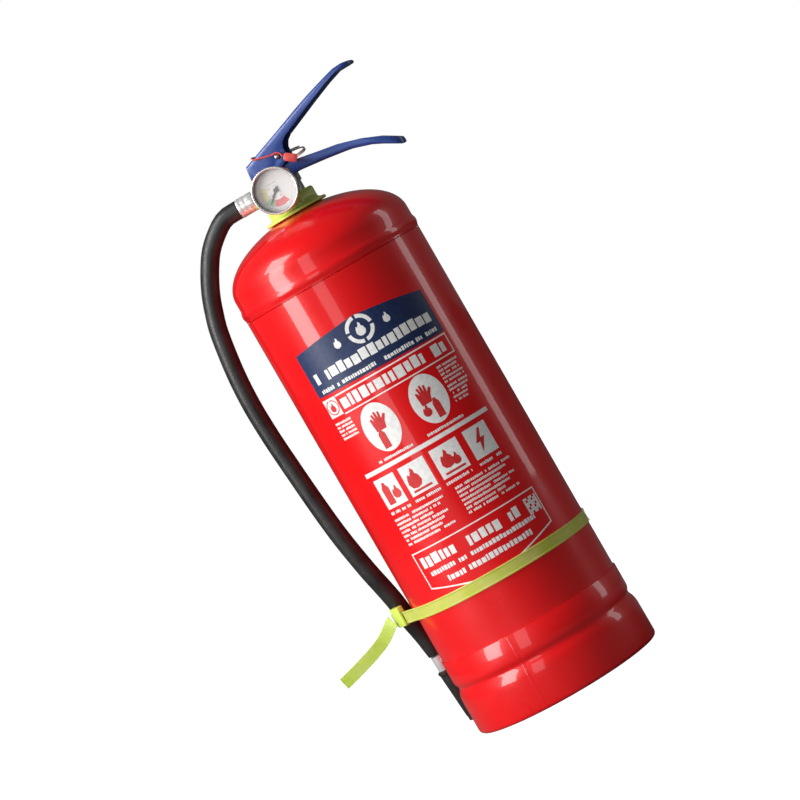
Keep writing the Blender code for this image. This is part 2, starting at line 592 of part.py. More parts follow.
# ---------------------------------------------------------------- lever and handle
def channel(name, outline, crease, hollow, width, plan_end, material):
    """A pressed channel: a side outline with rounded long edges, hollowed and rounded at its end."""
    bm = plate_mesh(outline, -width / 2, width / 2)
    along = {(round(x, 6), round(z, 6)) for x, z in crease}
    long_edges = [e for e in bm.edges if all((round(v.co.x, 6), round(v.co.z, 6)) in along for v in e.verts)
                  and abs(e.verts[0].co.y - e.verts[1].co.y) < MM]
    bmesh.ops.bevel(bm, geom=long_edges, offset=2.6 * MM, segments=3, affect="EDGES", profile=0.5)
    piece = piece_from(bm, name, material)
    inside = width / 2 - SHEET
    combine(piece, [cutter(plate_mesh(hollow, -inside, inside), name + "_hollow")])
    reach, radius = plan_end
    corners = [
        (reach - 200 * MM, -width), (reach - radius, -width / 2 - MM),
        *arc((reach - radius, -width / 2 + radius), (radius, radius), -80, 0, 5),
        *arc((reach - radius, width / 2 - radius), (radius, radius), 0, 80, 5),
        (reach - radius, width / 2 + MM), (reach - 200 * MM, width)]
    plan = bmesh.new()
    face = plan.faces.new([plan.verts.new((x, y, VALVE_LOW - 50 * MM)) for x, y in corners])
    grown = bmesh.ops.extrude_face_region(plan, geom=[face])["geom"]
    moved = [item for item in grown if isinstance(item, bmesh.types.BMVert)]
    bmesh.ops.translate(plan, verts=moved, vec=(0, 0, 160 * MM))
    return combine(piece, [cutter(plan, name + "_plan")], "INTERSECT")


def scaled(points):
    """Points given in millimetres, in metres."""
    return [(x * MM, z * MM) for x, z in points]


def from_pivot(points):
    """Points whose heights are given in millimetres above the lever's pivot."""
    return [(x * MM, PIVOT.z + z * MM) for x, z in points]


def lowered(points, drop):
    """Points moved down."""
    return [(x, z - drop) for x, z in points]


def lever_underside(x):
    """Height of the lever's inner face above a place near the valve's axis."""
    (x0, z0), (x1, z1) = from_pivot(LEVER_CROWN[:2])
    return z0 + (z1 - z0) * (x - x0) / (x1 - x0) - SHEET / LEVER_SLOPE


def build_lever():
    """Squeeze lever: a channel open below, pivoted on the valve and holed for the safety pin."""
    crown = from_pivot(LEVER_CROWN)
    under = from_pivot([(95.0, 48.5), (96.0, 47.1), (95.0, 45.9), (82.2, 45.8), (70.6, 42.1), (55.1, 36.1),
                        (39.5, 29.8), (23.9, 23.3), (20.1, 20.3), (17.8, 16.2), (17.8, 10.1),
                        (14.6, 6.3)])
    toe = list(arc((PIVOT.x, PIVOT.z), (5 * MM, 5 * MM), -60, -170, 5))
    outline = crown + under + toe + from_pivot([(-16.3, 4.5)])
    inner = lowered(crown[:-1], SHEET / LEVER_SLOPE)
    behind = crown[0][0] - 20 * MM
    hollow = [(behind, inner[0][1] - 7 * MM), *inner, *from_pivot([(84.0, 18.5), (84.0, -31.5)]),
              (behind, PIVOT.z - 31.5 * MM)]
    lever = channel("squeeze_lever", outline, crown, hollow, LEVER_WIDTH, LEVER_TIP, BLUE)
    combine(lever, [cross_hole("lever_pivot_hole", PIVOT, PIVOT_RADIUS + RUNNING_GAP, LEVER_WIDTH),
                    cross_hole("lever_pin_hole", PIN, PIN_RADIUS + RUNNING_GAP, LEVER_WIDTH)])
    lever_origin(lever)
    rivet("lever_rivet", PIVOT, PIVOT_RADIUS, RIVET_HEAD, RIVET_HEAD_HEIGHT, LEVER_WIDTH / 2 + GAP)


def lever_origin(lever):
    """Moves a piece's origin onto the lever's pivot, with its mesh left in place."""
    lever.data.transform(Matrix.Translation(-PIVOT))
    lever.matrix_world = Matrix.Translation(PIVOT)


def rivet(name, centre, radius, head_radius, head_height, half_grip):
    """A rivet along Y with a domed head at each end."""
    half = [(0, half_grip + head_height), (head_radius * 0.6, half_grip + head_height * 0.8),
            (head_radius, half_grip), (radius, half_grip)]
    outline = half + [(r, -z) for r, z in reversed(half)]
    turned(name, outline, STEEL, FINE_STEPS, closed=False, matrix=facing((0, 1, 0), centre))


def pin_at(angle):
    """The safety pin's place when the lever has turned by an angle."""
    arm = PIN - PIVOT
    turn = Matrix.Rotation(angle, 3, "Y")
    return PIVOT + turn @ arm


def build_handle():
    """Carrying handle: a channel open above, riveted to the valve, with slots that clear the pin."""
    width = HANDLE_WIDTH
    upper = from_pivot([(101.5, -24.5), (100.4, -21.9), (85.9, -13.3), (70.4, -6.8), (54.9, -2.2),
                        (39.3, 0.5), (25.3, 3.2), (17.5, 4.7), (17.5, 13.5), (15.5, 15.5), (5.5, 15.5),
                        (3.0, 13.0), (3.0, 6.0), (-15.5, 6.0)])
    keel = from_pivot([(-15.5, KEEL_HEIGHT), (17.5, KEEL_HEIGHT), (39.3, -7.2), (54.9, -9.5),
                       (62.6, -10.9), (78.2, -15.9), (85.9, -19.7), (98.6, -26.9), (100.8, -26.7)])
    drop = SHEET / math.cos(math.radians(12))
    inner = lowered(keel[2:-2], -drop)
    valve_room = VALVE_BLOCK_FRONT + 2 * MM
    below, above = PIVOT.z - 11.5 * MM, PIVOT.z + 48.5 * MM
    hollow = [(-30 * MM, below), (valve_room, below), (valve_room, keel[1][1] + drop), *inner,
              *from_pivot([(92.0, -20.5)]), (96 * MM, above), (-30 * MM, above)]
    handle = channel("carry_handle", upper + keel, keel[1:], hollow, width, HANDLE_TIP, BLUE)
    slot_radius = PIN_RADIUS + PIN_SLOT_GAP
    start, end = pin_at(0), pin_at(LEVER_TRAVEL)
    slot = plate_mesh([(start.x - slot_radius, start.z), (start.x - slot_radius, start.z + 9 * MM),
                       (start.x + slot_radius, start.z + 9 * MM), (start.x + slot_radius, start.z),
                       (end.x + slot_radius, end.z),
                       *arc((end.x, end.z), (slot_radius, slot_radius), -15, -165, 6),
                       (end.x - slot_radius, end.z)], -width, width)
    combine(handle, [cutter(slot, "pin_slot"),
                     cross_hole("handle_pivot_hole", PIVOT, PIVOT_RADIUS + RUNNING_GAP, width),
                     cross_hole("handle_rivet_hole", HANDLE_RIVET, HANDLE_RIVET_RADIUS + GAP, width)])
    rivet("handle_rivet", HANDLE_RIVET, HANDLE_RIVET_RADIUS, HANDLE_RIVET_HEAD,
          HANDLE_RIVET_HEAD_HEIGHT, width / 2 + GAP)


def build_pin():
    """Safety pin with an eye, and the pull ring through the eye."""
    rim, back = PIN_RADIUS + PIN_SHOULDER_RIM, -PIN_SHOULDER - PIN_SHOULDER_LENGTH
    shank = turned_mesh([
        (0, PIN_END), (PIN_RADIUS * 0.7, PIN_END - 0.3 * MM), (PIN_RADIUS, PIN_END - 1.2 * MM),
        (PIN_RADIUS, -PIN_SHOULDER), (rim, -PIN_SHOULDER), (rim, back), (0, back)],
        FINE_STEPS, closed=False)
    pin = piece_from(shank, "safety_pin", STEEL, facing((0, -1, 0), PIN))
    eye_at = PIN + Vector((0, EYE_CENTRE, 0))
    half = EYE_THICKNESS / 2
    disc = turned_mesh([(0, half), (EYE_RADIUS, half), (EYE_RADIUS, -half), (0, -half)], 20, closed=False)
    combine(pin, [cutter(disc, "eye_disc", facing((1, 0, 0), eye_at))], "UNION")
    reach = Vector((5 * MM, 0, 0))
    combine(pin, [rod_cutter("eye_hole", EYE_HOLE, eye_at - reach, eye_at + reach, 16)])
    ring = turned_mesh(ring_section(PULL_RING_RADIUS, PULL_RING_WIRE, 0, 8), 32)
    bmesh.ops.translate(ring, verts=ring.verts, vec=(0, PULL_RING_RADIUS, 0))
    hang = Matrix.Translation(eye_at) @ Matrix.Rotation(-PULL_RING_DROOP, 4, "X")
    piece_from(ring, "pull_ring", STEEL, hang)


def build_seal():
    """Plastic seal: a thread round the lever and over the pin's tip, with a small tag."""
    points = through_curve(THREAD_ROUTE, 1.8 * THREAD_WIDTH)
    cord_piece("seal_thread", points, THREAD_WIDTH / 2, SEAL_RED, 2)
    side, corner = TAG_WIDTH / 2, 1.2 * MM
    tag = plate_mesh([
        (0, corner - side), (corner, -side), (TAG_LENGTH - corner, -side), (TAG_LENGTH, corner - side),
        (TAG_LENGTH, side - corner), (TAG_LENGTH - corner, side), (corner, side), (0, side - corner)],
        -TAG_THICKNESS / 2, TAG_THICKNESS / 2)
    start = points[0] + Vector((0.5 * MM, 0, -0.4 * MM))
    piece_from(tag, "seal_tag", SEAL_RED, Matrix.Translation(start) @ Matrix.Rotation(TAG_TILT, 4, "Y"))


# ---------------------------------------------------------------- pressure gauge
def build_gauge():
    """Case, tube spring, dial, needle, lens and bezel, turned about the gauge's axis towards -Y."""
    front = facing((0, -1, 0), (0, 0, GAUGE_HEIGHT))
    port_seat = VALVE_BLOCK_WIDTH / 2
    back = GAUGE_BACK
    inside = back + GAUGE_CASE_WALL
    rim = back + GAUGE_CASE_DEPTH
    stem = [
        (GAUGE_STEM_RADIUS, port_seat), (GAUGE_STEM_RADIUS, GAUGE_BOSS_REACH + GAP),
        (GAUGE_BOSS_RADIUS, GAUGE_BOSS_REACH + GAP), (GAUGE_BOSS_RADIUS, back - GAP),
        (GAUGE_STEM_RADIUS - MM, back - GAP), (GAUGE_STEM_RADIUS - MM, inside + 2 * MM),
        (MM, inside + 2 * MM), (MM, port_seat)]
    turned("gauge_stem", list(reversed(stem)), BRASS, SMALL_STEPS, matrix=front)
    hole = GAUGE_STEM_RADIUS - MM + GAP
    wall = GAUGE_CASE_RADIUS - GAUGE_CASE_WALL
    case = [
        (hole, back), (GAUGE_CASE_RADIUS - 2 * MM, back), (GAUGE_CASE_RADIUS, back + 2 * MM),
        (GAUGE_CASE_RADIUS, rim), (wall, rim), (wall, inside + 1.4 * MM), (wall - 1.4 * MM, inside),
        (hole, inside)]
    turned("gauge_case", case, BLACK, 32, matrix=front)

    dial_low = rim - DIAL_SINK
    tube_at = (inside + dial_low) / 2
    bend = arc((0, 0), (BOURDON_RADIUS, BOURDON_RADIUS), -70, 200, 15)
    tube = [front @ Vector((x, y, tube_at)) for x, y in bend]
    cord_piece("bourdon_tube", tube, BOURDON_TUBE, BRASS, 2)
    dial = washer_outline(wall - GAP, ARBOR_RADIUS + 0.4 * MM, dial_low, DIAL_THICKNESS)
    turned("gauge_dial", dial, WHITE, 32, matrix=front)
    needle_low = dial_low + DIAL_THICKNESS + 0.5 * MM
    needle = bmesh.new()
    blade = [(-3.2 * MM, -0.9 * MM), (0, -0.8 * MM), (NEEDLE_LENGTH, -0.25 * MM), (NEEDLE_LENGTH, 0.25 * MM),
             (0, 0.8 * MM), (-3.2 * MM, 0.9 * MM)]
    face = needle.faces.new([needle.verts.new((x, y, needle_low)) for x, y in blade])
    grown = bmesh.ops.extrude_face_region(needle, geom=[face])["geom"]
    moved = [item for item in grown if isinstance(item, bmesh.types.BMVert)]
    bmesh.ops.translate(needle, verts=moved, vec=(0, 0, 0.4 * MM))
    turn = front @ Matrix.Rotation(NEEDLE_ANGLE, 4, "Z")
    piece = piece_from(needle, "gauge_needle", BLACK, turn)
    hub = turned_mesh([
        (0, needle_low + MM), (1.6 * MM, needle_low + MM), (1.9 * MM, needle_low),
        (ARBOR_RADIUS, needle_low - 0.1 * MM), (ARBOR_RADIUS, dial_low - MM), (0, dial_low - MM)],
        FINE_STEPS, closed=False)
    combine(piece, [cutter(hub, "needle_hub", turn)], "UNION")

    lens_low = rim + GAP
    lens_high = lens_low + LENS_THICKNESS
    lens = [(0, lens_high), (GAUGE_CASE_RADIUS, lens_high), (GAUGE_CASE_RADIUS, lens_low), (0, lens_low)]
    turned("gauge_lens", lens, CLEAR, 32, closed=False, matrix=front)
    lip_low = lens_high + GAP
    lip_high = lip_low + BEZEL_LIP
    skirt = GAUGE_CASE_RADIUS + GAP
    bezel = [
        (GAUGE_RADIUS - BEZEL_WALL, lip_low), (skirt, lip_low), (skirt, lip_high - BEZEL_DEPTH),
        (GAUGE_RADIUS, lip_high - BEZEL_DEPTH), (GAUGE_RADIUS, lip_high - 0.9 * MM),
        (GAUGE_RADIUS - 0.9 * MM, lip_high), (GAUGE_RADIUS - BEZEL_WALL + 0.8 * MM, lip_high)]
    turned("gauge_bezel", bezel, CHROME, ROUND_STEPS, matrix=front)


# ---------------------------------------------------------------- hose, nozzle and strap
def build_hose():
    """Outlet nipple, crimped ferrule, hose, the nozzle's tube and the nozzle."""
    outlet = facing((-1, 0, 0), (0, 0, OUTLET_HEIGHT))
    mouth = -HOSE_ROUTE[0][0] * MM - GAP
    ferrule_start = mouth - FERRULE_LENGTH
    inner_end = OUTLET_REACH - OUTLET_SOCKET_DEPTH + GAP
    nipple = tube_outline(NIPPLE_RADIUS, NIPPLE_BORE, inner_end, mouth - MM)
    turned("outlet_nipple", nipple, BRASS, matrix=outlet)
    ferrule = [
        (FERRULE_RADIUS, mouth - 0.5 * MM), (FERRULE_RADIUS - 0.5 * MM, mouth), (NIPPLE_RADIUS + GAP, mouth),
        (NIPPLE_RADIUS + GAP, ferrule_start), (FERRULE_RADIUS - 0.8 * MM, ferrule_start),
        (FERRULE_RADIUS, ferrule_start + 0.8 * MM)]
    turned("hose_ferrule", ferrule, CHROME, 32, matrix=outlet)
    cord_piece("hose", through_curve(HOSE_ROUTE, HOSE_RADIUS), HOSE_RADIUS, RUBBER, 3)

    hose_end = Vector(HOSE_ROUTE[-1]) * MM
    down = facing(NOZZLE_AXIS, hose_end + NOZZLE_AXIS * HOSE_END_GAP)
    tube_bore = NOZZLE_TUBE_RADIUS - NOZZLE_TUBE_WALL
    sleeve = tube_outline(NOZZLE_TUBE_RADIUS, tube_bore, 0, NOZZLE_TUBE_LENGTH)
    turned("nozzle_tube", sleeve, STEEL, matrix=down)
    start = NOZZLE_TUBE_LENGTH + GAP
    end = start + NOZZLE_LENGTH
    rim = NOZZLE_TOP_RADIUS + 0.4 * MM
    nozzle = [
        (NOZZLE_BORE, start), (rim, start), (rim, start + 2 * MM),
        (NOZZLE_TOP_RADIUS - 0.3 * MM, start + 2.4 * MM), (NOZZLE_TIP_RADIUS + 0.3 * MM, end - 4 * MM),
        (NOZZLE_TIP_RADIUS, end - 3 * MM), (NOZZLE_TIP_RADIUS, end), (NOZZLE_BORE, end)]
    turned("nozzle", nozzle, BLACK, matrix=down)


def hose_centre(height):
    """Where the hose's middle is at a height, in plan."""
    route = [Vector(point) * MM for point in HOSE_ROUTE]
    above, below = next((a, b) for a, b in zip(route, route[1:]) if b.z <= height <= a.z)
    return above.lerp(below, (above.z - height) / (above.z - below.z)).to_2d()


def loop_outline(grow):
    """The strap's path in plan: round the body and round the hose, with straight runs between."""
    centre = hose_centre(STRAP_HEIGHT)
    body, hose = BODY_RADIUS + GAP + grow, STRAP_HOSE_ROOM + grow
    towards = math.degrees(math.atan2(centre.y, centre.x))
    spread = math.degrees(math.acos((body - hose) / centre.length))
    return [*arc((0, 0), (body, body), towards + spread, towards + 360 - spread, 40),
            *arc(centre, (hose, hose), towards - spread, towards + spread, 10)]


def build_strap():
    """Closed strap loop round body and hose, its buckle and its loose tail."""
    bm = bmesh.new()
    low, high = STRAP_HEIGHT - STRAP_WIDTH / 2, STRAP_HEIGHT + STRAP_WIDTH / 2
    inner = [bm.verts.new((x, y, low)) for x, y in loop_outline(0)]
    outer = [bm.verts.new((x, y, low)) for x, y in loop_outline(STRAP_THICKNESS)]
    count = len(inner)
    floor = []
    for here in range(count):
        ahead = (here + 1) % count
        floor.append(bm.faces.new((inner[here], inner[ahead], outer[ahead], outer[here])))
    grown = bmesh.ops.extrude_face_region(bm, geom=floor)["geom"]
    moved = [item for item in grown if isinstance(item, bmesh.types.BMVert)]
    bmesh.ops.translate(bm, verts=moved, vec=(0, 0, high - low))
    piece_from(bm, "hose_strap", LIME)

    centre = hose_centre(STRAP_HEIGHT)
    body, hose = BODY_RADIUS + GAP, STRAP_HOSE_ROOM
    normal_angle = math.atan2(centre.y, centre.x) + math.acos((body - hose) / centre.length)
    normal = Vector((math.cos(normal_angle), math.sin(normal_angle), 0))
    run_start, run_end = body * normal, centre.to_3d() + hose * normal
    run = (run_end - run_start).normalized()
    middle = run_end - run * (BUCKLE_LENGTH / 2 + BUCKLE_SETBACK) + normal * STRAP_THICKNESS / 2
    middle.z = STRAP_HEIGHT + BUCKLE_RAISE
    place = Matrix.Translation(middle) @ Matrix((run, normal, (0, 0, 1))).transposed().to_4x4()
    slot_half = STRAP_THICKNESS / 2 + GAP
    depth = 2 * (slot_half + BUCKLE_WALL)
    block = bmesh.new()
    bmesh.ops.create_cube(block, size=1)
    bmesh.ops.scale(block, verts=block.verts, vec=(BUCKLE_LENGTH, depth, BUCKLE_HEIGHT))
    bmesh.ops.bevel(block, geom=list(block.edges), offset=0.8 * MM, segments=2, affect="EDGES", profile=0.5)
    buckle = piece_from(block, "strap_buckle", LIME, place)
    slot = bmesh.new()
    bmesh.ops.create_cube(slot, size=1)
    bmesh.ops.scale(slot, verts=slot.verts, vec=(2 * BUCKLE_LENGTH, 2 * slot_half, STRAP_WIDTH + 2 * GAP))
    bmesh.ops.translate(slot, verts=slot.verts, vec=(0, 0, -BUCKLE_RAISE))
    combine(buckle, [cutter(slot, "buckle_slot", place)])

    points = through_curve(TAIL_ROUTE, 0.5 * STRAP_WIDTH)
    ribbon("strap_tail", points, STRAP_WIDTH, STRAP_THICKNESS, LIME)


def ribbon(name, points, width, thickness, material):
    """A flat strip along points, its width upright across the way it runs."""
    bm = bmesh.new()
    rings = []
    for number, point in enumerate(points):
        ahead = points[min(number + 1, len(points) - 1)] - points[max(number - 1, 0)]
        level = Vector((-ahead.y, ahead.x, 0)).normalized()
        up = ahead.cross(level).normalized() * -1
        corners = ((-1, -1), (1, -1), (1, 1), (-1, 1))
        rise, side = up * width / 2, level * thickness / 2
        rings.append([bm.verts.new(point + rise * a + side * b) for a, b in corners])
    for first, second in zip(rings, rings[1:]):
        for side in range(4):
            bm.faces.new((first[side], first[(side + 1) % 4], second[(side + 1) % 4], second[side]))
    bm.faces.new(rings[0])
    bm.faces.new(rings[-1])
    return piece_from(bm, name, material)


build_vessel()
build_powder()
build_collar()
build_valve()
build_stem()
build_lever()
build_handle()
build_pin()
build_seal()
build_gauge()
build_hose()
build_strap()
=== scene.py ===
import math
import random

import bpy
from mathutils import Matrix, Vector


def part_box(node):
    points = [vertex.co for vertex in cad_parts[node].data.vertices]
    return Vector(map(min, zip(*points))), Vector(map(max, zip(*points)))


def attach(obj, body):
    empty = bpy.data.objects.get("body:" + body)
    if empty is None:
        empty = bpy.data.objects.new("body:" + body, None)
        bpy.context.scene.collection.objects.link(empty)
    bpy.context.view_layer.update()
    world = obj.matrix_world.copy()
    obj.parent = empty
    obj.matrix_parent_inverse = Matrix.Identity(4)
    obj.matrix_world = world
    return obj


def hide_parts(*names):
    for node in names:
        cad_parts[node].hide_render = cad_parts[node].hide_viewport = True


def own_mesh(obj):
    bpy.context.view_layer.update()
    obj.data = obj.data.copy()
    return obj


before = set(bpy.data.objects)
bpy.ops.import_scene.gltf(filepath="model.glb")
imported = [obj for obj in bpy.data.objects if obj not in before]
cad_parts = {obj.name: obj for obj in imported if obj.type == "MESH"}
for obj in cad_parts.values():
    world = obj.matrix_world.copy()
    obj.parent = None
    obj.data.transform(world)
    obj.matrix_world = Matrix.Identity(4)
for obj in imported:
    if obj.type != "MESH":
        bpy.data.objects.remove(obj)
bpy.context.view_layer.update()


# ---- Camera, floor and light
# A long lens at the height of the upper body, turned a little to the lever's side and rolled, so
# that the cylinder leans to the left. The floor and the air behind are plain white.
AZIMUTH = math.radians(9.5)
ROLL = math.radians(29.98)
DISTANCE = 2.70
EYE_HEIGHT = 0.342
across = Vector((math.cos(AZIMUTH), math.sin(AZIMUTH), 0))
up = Vector((0, 0, 1))
back = Vector((math.sin(AZIMUTH), -math.cos(AZIMUTH), 0))
eye_point = back * DISTANCE + up * EYE_HEIGHT
aim_point = up * 0.2550 - across * 0.0035
gaze = (aim_point - eye_point).normalized()
level_right = gaze.cross(up).normalized()
level_up = level_right.cross(gaze)
right_axis = level_right * math.cos(ROLL) - level_up * math.sin(ROLL)
up_axis = level_right * math.sin(ROLL) + level_up * math.cos(ROLL)
camera_data = bpy.data.cameras.new("camera")
camera_data.lens = 157.5
camera_data.clip_end = 100
camera = bpy.data.objects.new("camera", camera_data)
turn = Matrix((right_axis, up_axis, -gaze)).transposed().to_4x4()
camera.matrix_world = Matrix.Translation(eye_point) @ turn
bpy.context.scene.collection.objects.link(camera)
bpy.context.scene.camera = camera

bpy.ops.object.select_all(action="DESELECT")
bpy.ops.mesh.primitive_plane_add(size=30)
floor = bpy.context.active_object
floor.name = "studio_floor"
pale = bpy.data.materials.new("pale_floor")
pale.use_nodes = True
floor_shader = pale.node_tree.nodes["Principled BSDF"]
floor_shader.inputs["Base Color"].default_value = (0.16, 0.16, 0.16, 1)
floor_shader.inputs["Roughness"].default_value = 0.9
floor_shader.inputs["Emission Strength"].default_value = 1.0
seen = pale.node_tree.nodes.new("ShaderNodeLightPath")
pale.node_tree.links.new(seen.outputs["Is Camera Ray"], floor_shader.inputs["Emission Color"])
floor.data.materials.append(pale)

world = bpy.data.worlds.new("studio")
bpy.context.scene.world = world
world.use_nodes = True
air = world.node_tree.nodes["Background"]
ray = world.node_tree.nodes.new("ShaderNodeLightPath")
level = world.node_tree.nodes.new("ShaderNodeMapRange")
level.inputs["To Min"].default_value = 0.10
level.inputs["To Max"].default_value = 1.0
world.node_tree.links.new(ray.outputs["Is Camera Ray"], level.inputs["Value"])
world.node_tree.links.new(level.outputs["Result"], air.inputs["Strength"])
air.inputs["Color"].default_value = (1, 1, 1, 1)
bpy.context.scene.view_settings.view_transform = "Standard"


def soft_box(name, place, aim, size, power):
    """A rectangular soft box that shines at a point."""
    data = bpy.data.lights.new(name, "AREA")
    data.shape = "RECTANGLE"
    data.size, data.size_y = size
    data.energy = power
    lamp = bpy.data.objects.new(name, data)
    lamp.location = place
    lamp.rotation_euler = (Vector(aim) - Vector(place)).to_track_quat("-Z", "Y").to_euler()
    bpy.context.scene.collection.objects.link(lamp)


soft_box("key_box", (-1.75, -1.45, 1.0), (0, 0, 0.25), (0.9, 1.5), 47)
soft_box("top_box", (-1.15, -0.75, 1.75), (0, 0, 0.4), (0.9, 0.9), 24)
soft_box("front_box", (-0.5, -2.6, 0.9), (0, 0, 0.35), (0.7, 1.8), 9)
soft_box("edge_box", (1.9, 0.5, 0.7), (0, 0, 0.3), (0.4, 1.4), 5)


# ---- Rubber hose
# Black rubber hose with a woven inlay, smooth outside with a faint mould line, crimped in the
# ferrule at the valve and pushed over the nozzle's tube at the bottom.
MM = 0.001


class Socket:
    """An output of a node, on which Python arithmetic makes Math nodes."""

    def __init__(self, paint, output):
        self.paint = paint
        self.output = output

    def maths(self, operation, *values):
        return self.paint.node("ShaderNodeMath", {"operation": operation}, list(values))

    def __add__(self, other):
        return self.maths("ADD", self, other)

    __radd__ = __add__

    def __sub__(self, other):
        return self.maths("SUBTRACT", self, other)

    def __rsub__(self, other):
        return self.maths("SUBTRACT", other, self)

    def __mul__(self, other):
        return self.maths("MULTIPLY", self, other)

    __rmul__ = __mul__

    def __gt__(self, other):
        return self.maths("GREATER_THAN", self, other)

    def __lt__(self, other):
        return self.maths("LESS_THAN", self, other)

    def size(self):
        return self.maths("ABSOLUTE", self)


class Paint:
    """A material whose nodes are made from Python."""

    def __init__(self, name, colour, roughness, metallic=0.0, **constants):
        self.material = bpy.data.materials.new(name)
        self.material.use_nodes = True
        self.tree = self.material.node_tree
        self.shader = self.tree.nodes["Principled BSDF"]
        self.set("Base Color", colour)
        self.set("Roughness", roughness)
        self.set("Metallic", metallic)
        for socket, value in constants.items():
            self.set(socket.replace("_", " "), value)

    def set(self, socket, value):
        """Sets or links one input of the shader."""
        self.fill(self.shader.inputs[socket], value)

    def fill(self, target, value):
        if isinstance(value, Socket):
            self.tree.links.new(value.output, target)
        elif isinstance(value, tuple) and len(value) == 3 and target.type == "RGBA":
            target.default_value = (*value, 1)
        else:
            target.default_value = value

    def node(self, kind, settings=None, inputs=(), output=0):
        """Makes a node, with its settings set before its inputs, and gives one output."""
        made = self.tree.nodes.new(kind)
        for name, value in (settings or {}).items():
            setattr(made, name, value)
        pairs = inputs.items() if isinstance(inputs, dict) else enumerate(inputs)
        for name, value in pairs:
            self.fill(made.inputs[name], value)
        return Socket(self, made.outputs[output])

    def place(self):
        """Object coordinates."""
        return self.node("ShaderNodeTexCoord", output="Object")

    def axes(self):
        """The x, y and z of the place on the object."""
        split = self.node("ShaderNodeSeparateXYZ", {}, [self.place()])
        return [Socket(self, output) for output in split.output.node.outputs]

    def noise(self, scale, detail):
        """Noise between 0 and 1, with scale in features per metre."""
        return self.node("ShaderNodeTexNoise", {}, {
            "Vector": self.place(), "Scale": scale, "Detail": detail})

    def ramp(self, value, low, high, start=0.0, end=1.0):
        """Takes a value from one span to another."""
        return self.node("ShaderNodeMapRange", {"clamp": True}, {
            "Value": value, "From Min": low, "From Max": high, "To Min": start, "To Max": end})

    def mix(self, factor, first, second):
        """A blend of two colours."""
        made = self.node("ShaderNodeMix", {"data_type": "RGBA"}, {}, 2)
        inputs = made.output.node.inputs
        self.fill(inputs[0], factor)
        self.fill(inputs[6], first)
        self.fill(inputs[7], second)
        return made

    def bump(self, height, depth, strength=1.0):
        """Feeds a height, in units of a depth in metres, to the shader's normal."""
        self.set("Normal", self.node("ShaderNodeBump", {}, {
            "Height": height, "Distance": depth, "Strength": strength}))


def smooth_route(route, step):
    """Points a step apart on the smooth curve through a route."""
    knots = [Vector(point) * MM for point in route]
    knots = [2 * knots[0] - knots[1], *knots, 2 * knots[-1] - knots[-2]]
    fine = []
    for before, start, end, after in zip(knots, knots[1:], knots[2:], knots[3:]):
        for count in range(12):
            t = count / 12
            fine.append(0.5 * (2 * start + (end - before) * t
                               + (2 * before - 5 * start + 4 * end - after) * t * t
                               + (3 * start - before - 3 * end + after) * t ** 3))
    fine.append(knots[-2])
    along = [0.0]
    for start, end in zip(fine, fine[1:]):
        along.append(along[-1] + (end - start).length)
    count = max(2, round(along[-1] / step))
    spaced = []
    for number in range(count + 1):
        wanted = along[-1] * number / count
        later = next((i for i, reached in enumerate(along) if reached >= wanted), len(along) - 1)
        later = max(later, 1)
        share = (wanted - along[later - 1]) / (along[later] - along[later - 1])
        spaced.append(fine[later - 1].lerp(fine[later], min(share, 1)))
    return spaced


def run_length(points):
    """The length of a line through points."""
    return sum((end - start).length for start, end in zip(points, points[1:]))


def cord_along(name, points, radius, material, sides=6):
    """A round cord with closed ends along points."""
    data = bpy.data.curves.new(name, "CURVE")
    data.dimensions = "3D"
    data.bevel_depth = radius
    data.bevel_resolution = sides
    data.use_fill_caps = True
    data.materials.append(material)
    spline = data.splines.new("POLY")
    spline.points.add(len(points) - 1)
    for knot, point in zip(spline.points, points):
        knot.co = (*point, 1)
    spline.use_smooth = True
    made = bpy.data.objects.new(name, data)
    bpy.context.scene.collection.objects.link(made)
    return made


rubber = Paint("hose_rubber", (0.016, 0.015, 0.015), 0.42)
bloom = rubber.noise(60, 5)
rubber.set("Base Color", rubber.mix(
    rubber.ramp(bloom, 0.35, 0.75), (0.013, 0.012, 0.012), (0.034, 0.032, 0.031)))
rubber.set("Roughness", rubber.ramp(rubber.noise(240, 4), 0.3, 0.7, 0.33, 0.5))
rubber.bump(rubber.noise(2200, 3) + rubber.noise(300, 2) * 1.5, 0.00006, 0.5)

hose_route = [
    (-38.4, 0.0, 444.4), (-43.0, 0.0, 444.4), (-50.0, 0.0, 443.9), (-58.5, 0.0, 440.0),
    (-72.4, 0.0, 428.6), (-82.5, 0.0, 414.4), (-90.7, 0.0, 398.9), (-96.4, 0.0, 383.5),
    (-100.6, 0.0, 368.0), (-105.1, 0.0, 337.0), (-106.8, 0.0, 310.0), (-106.4, 0.0, 285.0),
    (-104.9, 0.0, 260.0), (-101.3, 0.2, 214.0), (-98.0, 0.8, 183.0), (-93.2, 2.8, 152.0),
    (-90.2, 5.0, 136.0), (-87.6, 7.8, 120.0), (-86.8, 11.0, 107.0), (-84.7, 17.0, 90.0),
    (-83.4, 19.9, 78.5), (-83.2, 20.6, 67.5),
]
hose_points = smooth_route(hose_route, 5 * MM)
hose = cord_along("hose_skin", hose_points, 7.5 * MM, rubber.material)
for knot, taper in zip(reversed(hose.data.splines[0].points), (0.84, 0.93)):
    knot.radius = taper
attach(hose, "vessel")
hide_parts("hose")


# ---- Hose fittings
# A bright crimped ferrule on a brass nipple at the valve, and at the bottom a short metal tube that
# carries the moulded black nozzle, which tapers to a blunt mouth.
def ready(obj):
    """Leaves one object selected and active."""
    bpy.ops.object.select_all(action="DESELECT")
    obj.select_set(True)
    bpy.context.view_layer.objects.active = obj


